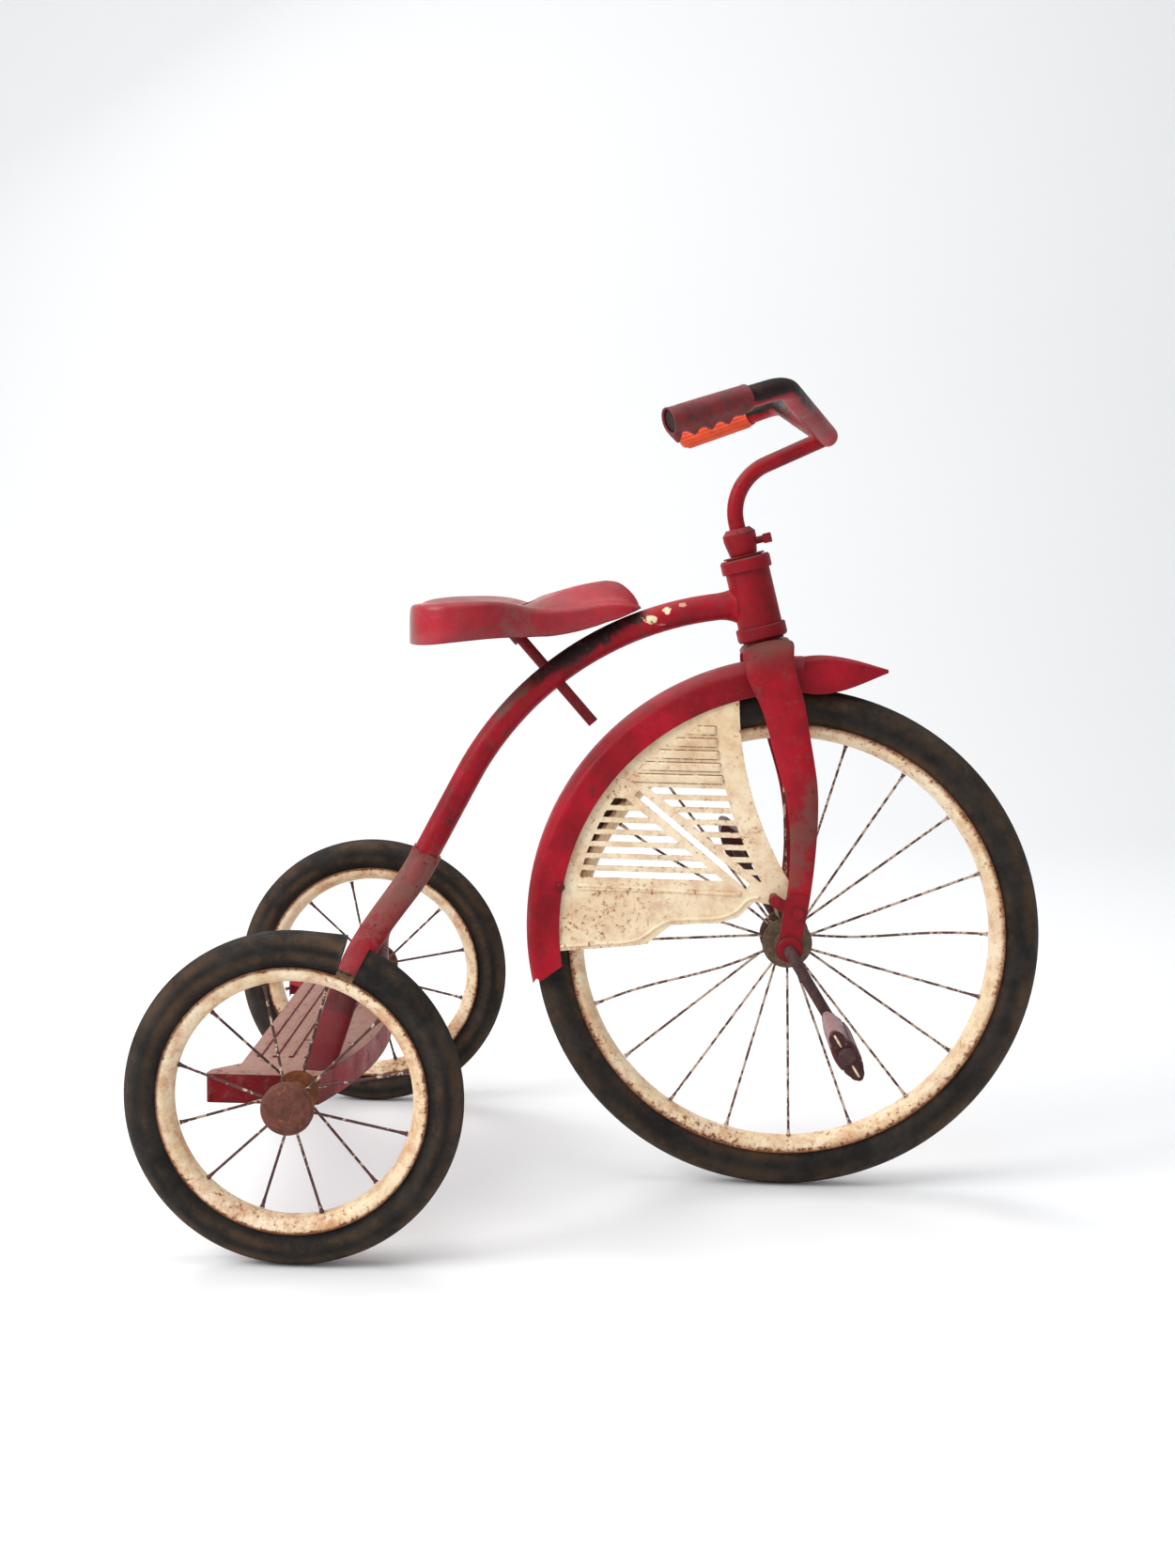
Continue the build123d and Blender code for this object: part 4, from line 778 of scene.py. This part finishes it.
def guard_point(x, z, lift):
    """A point over the guard's outer face, from its distance ahead of the rear axle and its height."""
    y = -0.0248 - 0.0499 * (x - 0.231) + 0.0333 * (z - 0.242) - 0.0011 - lift
    return Vector((rear_axle.x + x, y, z))


def louvre(number):
    """One closed louvre: a hood that stands out most along its top edge, between the guard's two arcs."""
    top = louvre_top - louvre_pitch * number + louvre_lean
    left = 0.461 - (0.220 ** 2 - (top - 0.275) ** 2) ** 0.5
    right = 0.745 - (0.370 ** 2 - (top - 0.504) ** 2) ** 0.5
    points = []
    for row in range(louvre_rows + 1):
        down = row / louvre_rows
        for column in range(louvre_columns + 1):
            share = column / louvre_columns
            x = left + (right - left) * share + louvre_lean * (1 - share) * down
            ends = min(1.0, share * (right - left) / 0.0035, (1 - share) * (right - left) / 0.0025)
            hood = min(1.0, down / hood_shoulder) * (1 - max(0.0, down - hood_shoulder) / 0.86) ** 0.7
            points.append(guard_point(x, top - louvre_height * down, 0.0012 + 0.0022 * hood * ends ** 0.5))
    return points, grid_faces(louvre_rows + 1, louvre_columns + 1, closed_columns=False)


louvre_points, louvre_faces = [], []
for number in range(louvre_count):
    more_points, more_faces = louvre(number)
    louvre_faces += [tuple(index + len(louvre_points) for index in face) for face in more_faces]
    louvre_points += more_points
piece("guard_louvres", louvre_points, louvre_faces, looks["cream_paint"], "fork")

seam_points, seam_faces = [], []
seam_radius, seam_depth, row_length = 0.0008, 0.0012, louvre_columns + 1
for number in range(louvre_count):
    hood_points = louvre(number)[0]
    for edge in (hood_points[:row_length], hood_points[-row_length:],
                 hood_points[row_length - 1::row_length]):
        sunk = [point + Vector((0, seam_depth, 0)) for point in edge]
        more_points, more_faces = tube(sunk, [seam_radius] * len(sunk), 8, len(seam_points))
        seam_points += more_points
        seam_faces += more_faces
seam_rust = rusted_steel("seam_rust", rgb(150, 98, 56), rgb(104, 62, 38), rgb(226, 200, 158), 0.56)
piece("guard_seams", seam_points, seam_faces, seam_rust, "fork")

bead_radius = 0.0019
bead_lines = [  # distance ahead of the rear axle, and height
    [(0.243, 0.308), (0.300, 0.3065), (0.360, 0.3045), (0.405, 0.303)],
    [(0.226, 0.2455), (0.262, 0.2490), (0.290, 0.2520), (0.306, 0.2560), (0.322, 0.2680), (0.337, 0.2755),
     (0.362, 0.2775), (0.386, 0.2800), (0.402, 0.2875), (0.412, 0.2980), (0.424, 0.3015)],
]
for number, outline in enumerate(bead_lines):
    bead_line = smooth_line([guard_point(x, z, -0.0004) for x, z in outline], 6)
    bead_points, bead_faces = tube(bead_line, [bead_radius] * len(bead_line), 12)
    piece(f"guard_bead_{number}", bead_points, bead_faces, looks["cream_paint"], "fork")


# ---- floor, light and camera --------------------------------------------------------------------
stage_paint = bpy.data.materials.new("stage_white")
stage_paint.use_nodes = True
stage_paint.node_tree.nodes["Principled BSDF"].inputs["Base Color"].default_value = (0.86, 0.865, 0.87, 1)
stage_paint.node_tree.nodes["Principled BSDF"].inputs["Roughness"].default_value = 0.55


def backdrop():
    """A pale floor that curves up into a pale wall."""
    floor_front, wall, bend, height, half = -6.0, 3.6, 1.2, 6.0, 7.0
    outline = [(floor_front, 0.0), (wall - bend, 0.0)]
    outline += [(wall - bend + bend * sin(a * pi / 24), bend - bend * cos(a * pi / 24)) for a in range(1, 12)]
    outline += [(wall, bend), (wall, height)]
    points = [(x, y, z) for y, z in outline for x in (-half, half)]
    faces = [(2 * i, 2 * i + 1, 2 * i + 3, 2 * i + 2) for i in range(len(outline) - 1)]
    mesh = bpy.data.meshes.new("floor")
    mesh.from_pydata(points, [], faces)
    mesh.polygons.foreach_set("use_smooth", [True] * len(faces))
    floor = bpy.data.objects.new("floor", mesh)
    bpy.context.scene.collection.objects.link(floor)
    mesh.materials.append(stage_paint)


def area_light(name, place, aim, size, power):
    """A square soft box at a place, facing a point."""
    lamp = bpy.data.lights.new(name, "AREA")
    lamp.shape = "SQUARE"
    lamp.size = size
    lamp.energy = power
    holder = bpy.data.objects.new(name, lamp)
    bpy.context.scene.collection.objects.link(holder)
    holder.location = place
    holder.rotation_euler = (Vector(aim) - Vector(place)).to_track_quat("-Z", "Y").to_euler()


backdrop()
area_light("window", (-2.7, -1.5, 2.3), (0, 0, 0.3), 1.8, 92)
area_light("back_window", (-1.6, 2.2, 2.9), (0, 0, 0.3), 1.6, 40)
area_light("ceiling", (0.2, -0.2, 3.8), (0, 0, 0.2), 3.0, 62)
area_light("front_fill", (1.2, -3.4, 1.6), (0, 0, 0.3), 2.4, 8)

world = bpy.data.worlds.new("studio")
bpy.context.scene.world = world
world.use_nodes = True
world.node_tree.nodes["Background"].inputs["Color"].default_value = (0.97, 0.98, 1.0, 1)
world.node_tree.nodes["Background"].inputs["Strength"].default_value = 0.5

camera_place = Vector((0.02705, -2.0329, 0.6583))
camera_yaw, camera_dip, camera_roll = radians(-1.53), radians(7.04), radians(0.99)
focal_share = 2170 / 1669  # focal length over the picture's height
forward = Vector((sin(camera_yaw) * cos(camera_dip), cos(camera_yaw) * cos(camera_dip), -sin(camera_dip)))
level_right = Vector((cos(camera_yaw), -sin(camera_yaw), 0))
level_up = level_right.cross(forward)
picture_right = level_right * cos(camera_roll) + level_up * sin(camera_roll)
picture_up = level_up * cos(camera_roll) - level_right * sin(camera_roll)
lens = bpy.data.cameras.new("camera")
lens.sensor_width = 36.0
lens.lens = 36.0 * focal_share
camera = bpy.data.objects.new("camera", lens)
bpy.context.scene.collection.objects.link(camera)
camera.matrix_world = Matrix.Translation(camera_place) @ Matrix(
    (picture_right, picture_up, -forward)).transposed().to_4x4()
bpy.context.scene.camera = camera
bpy.context.scene.view_settings.view_transform = "Standard"
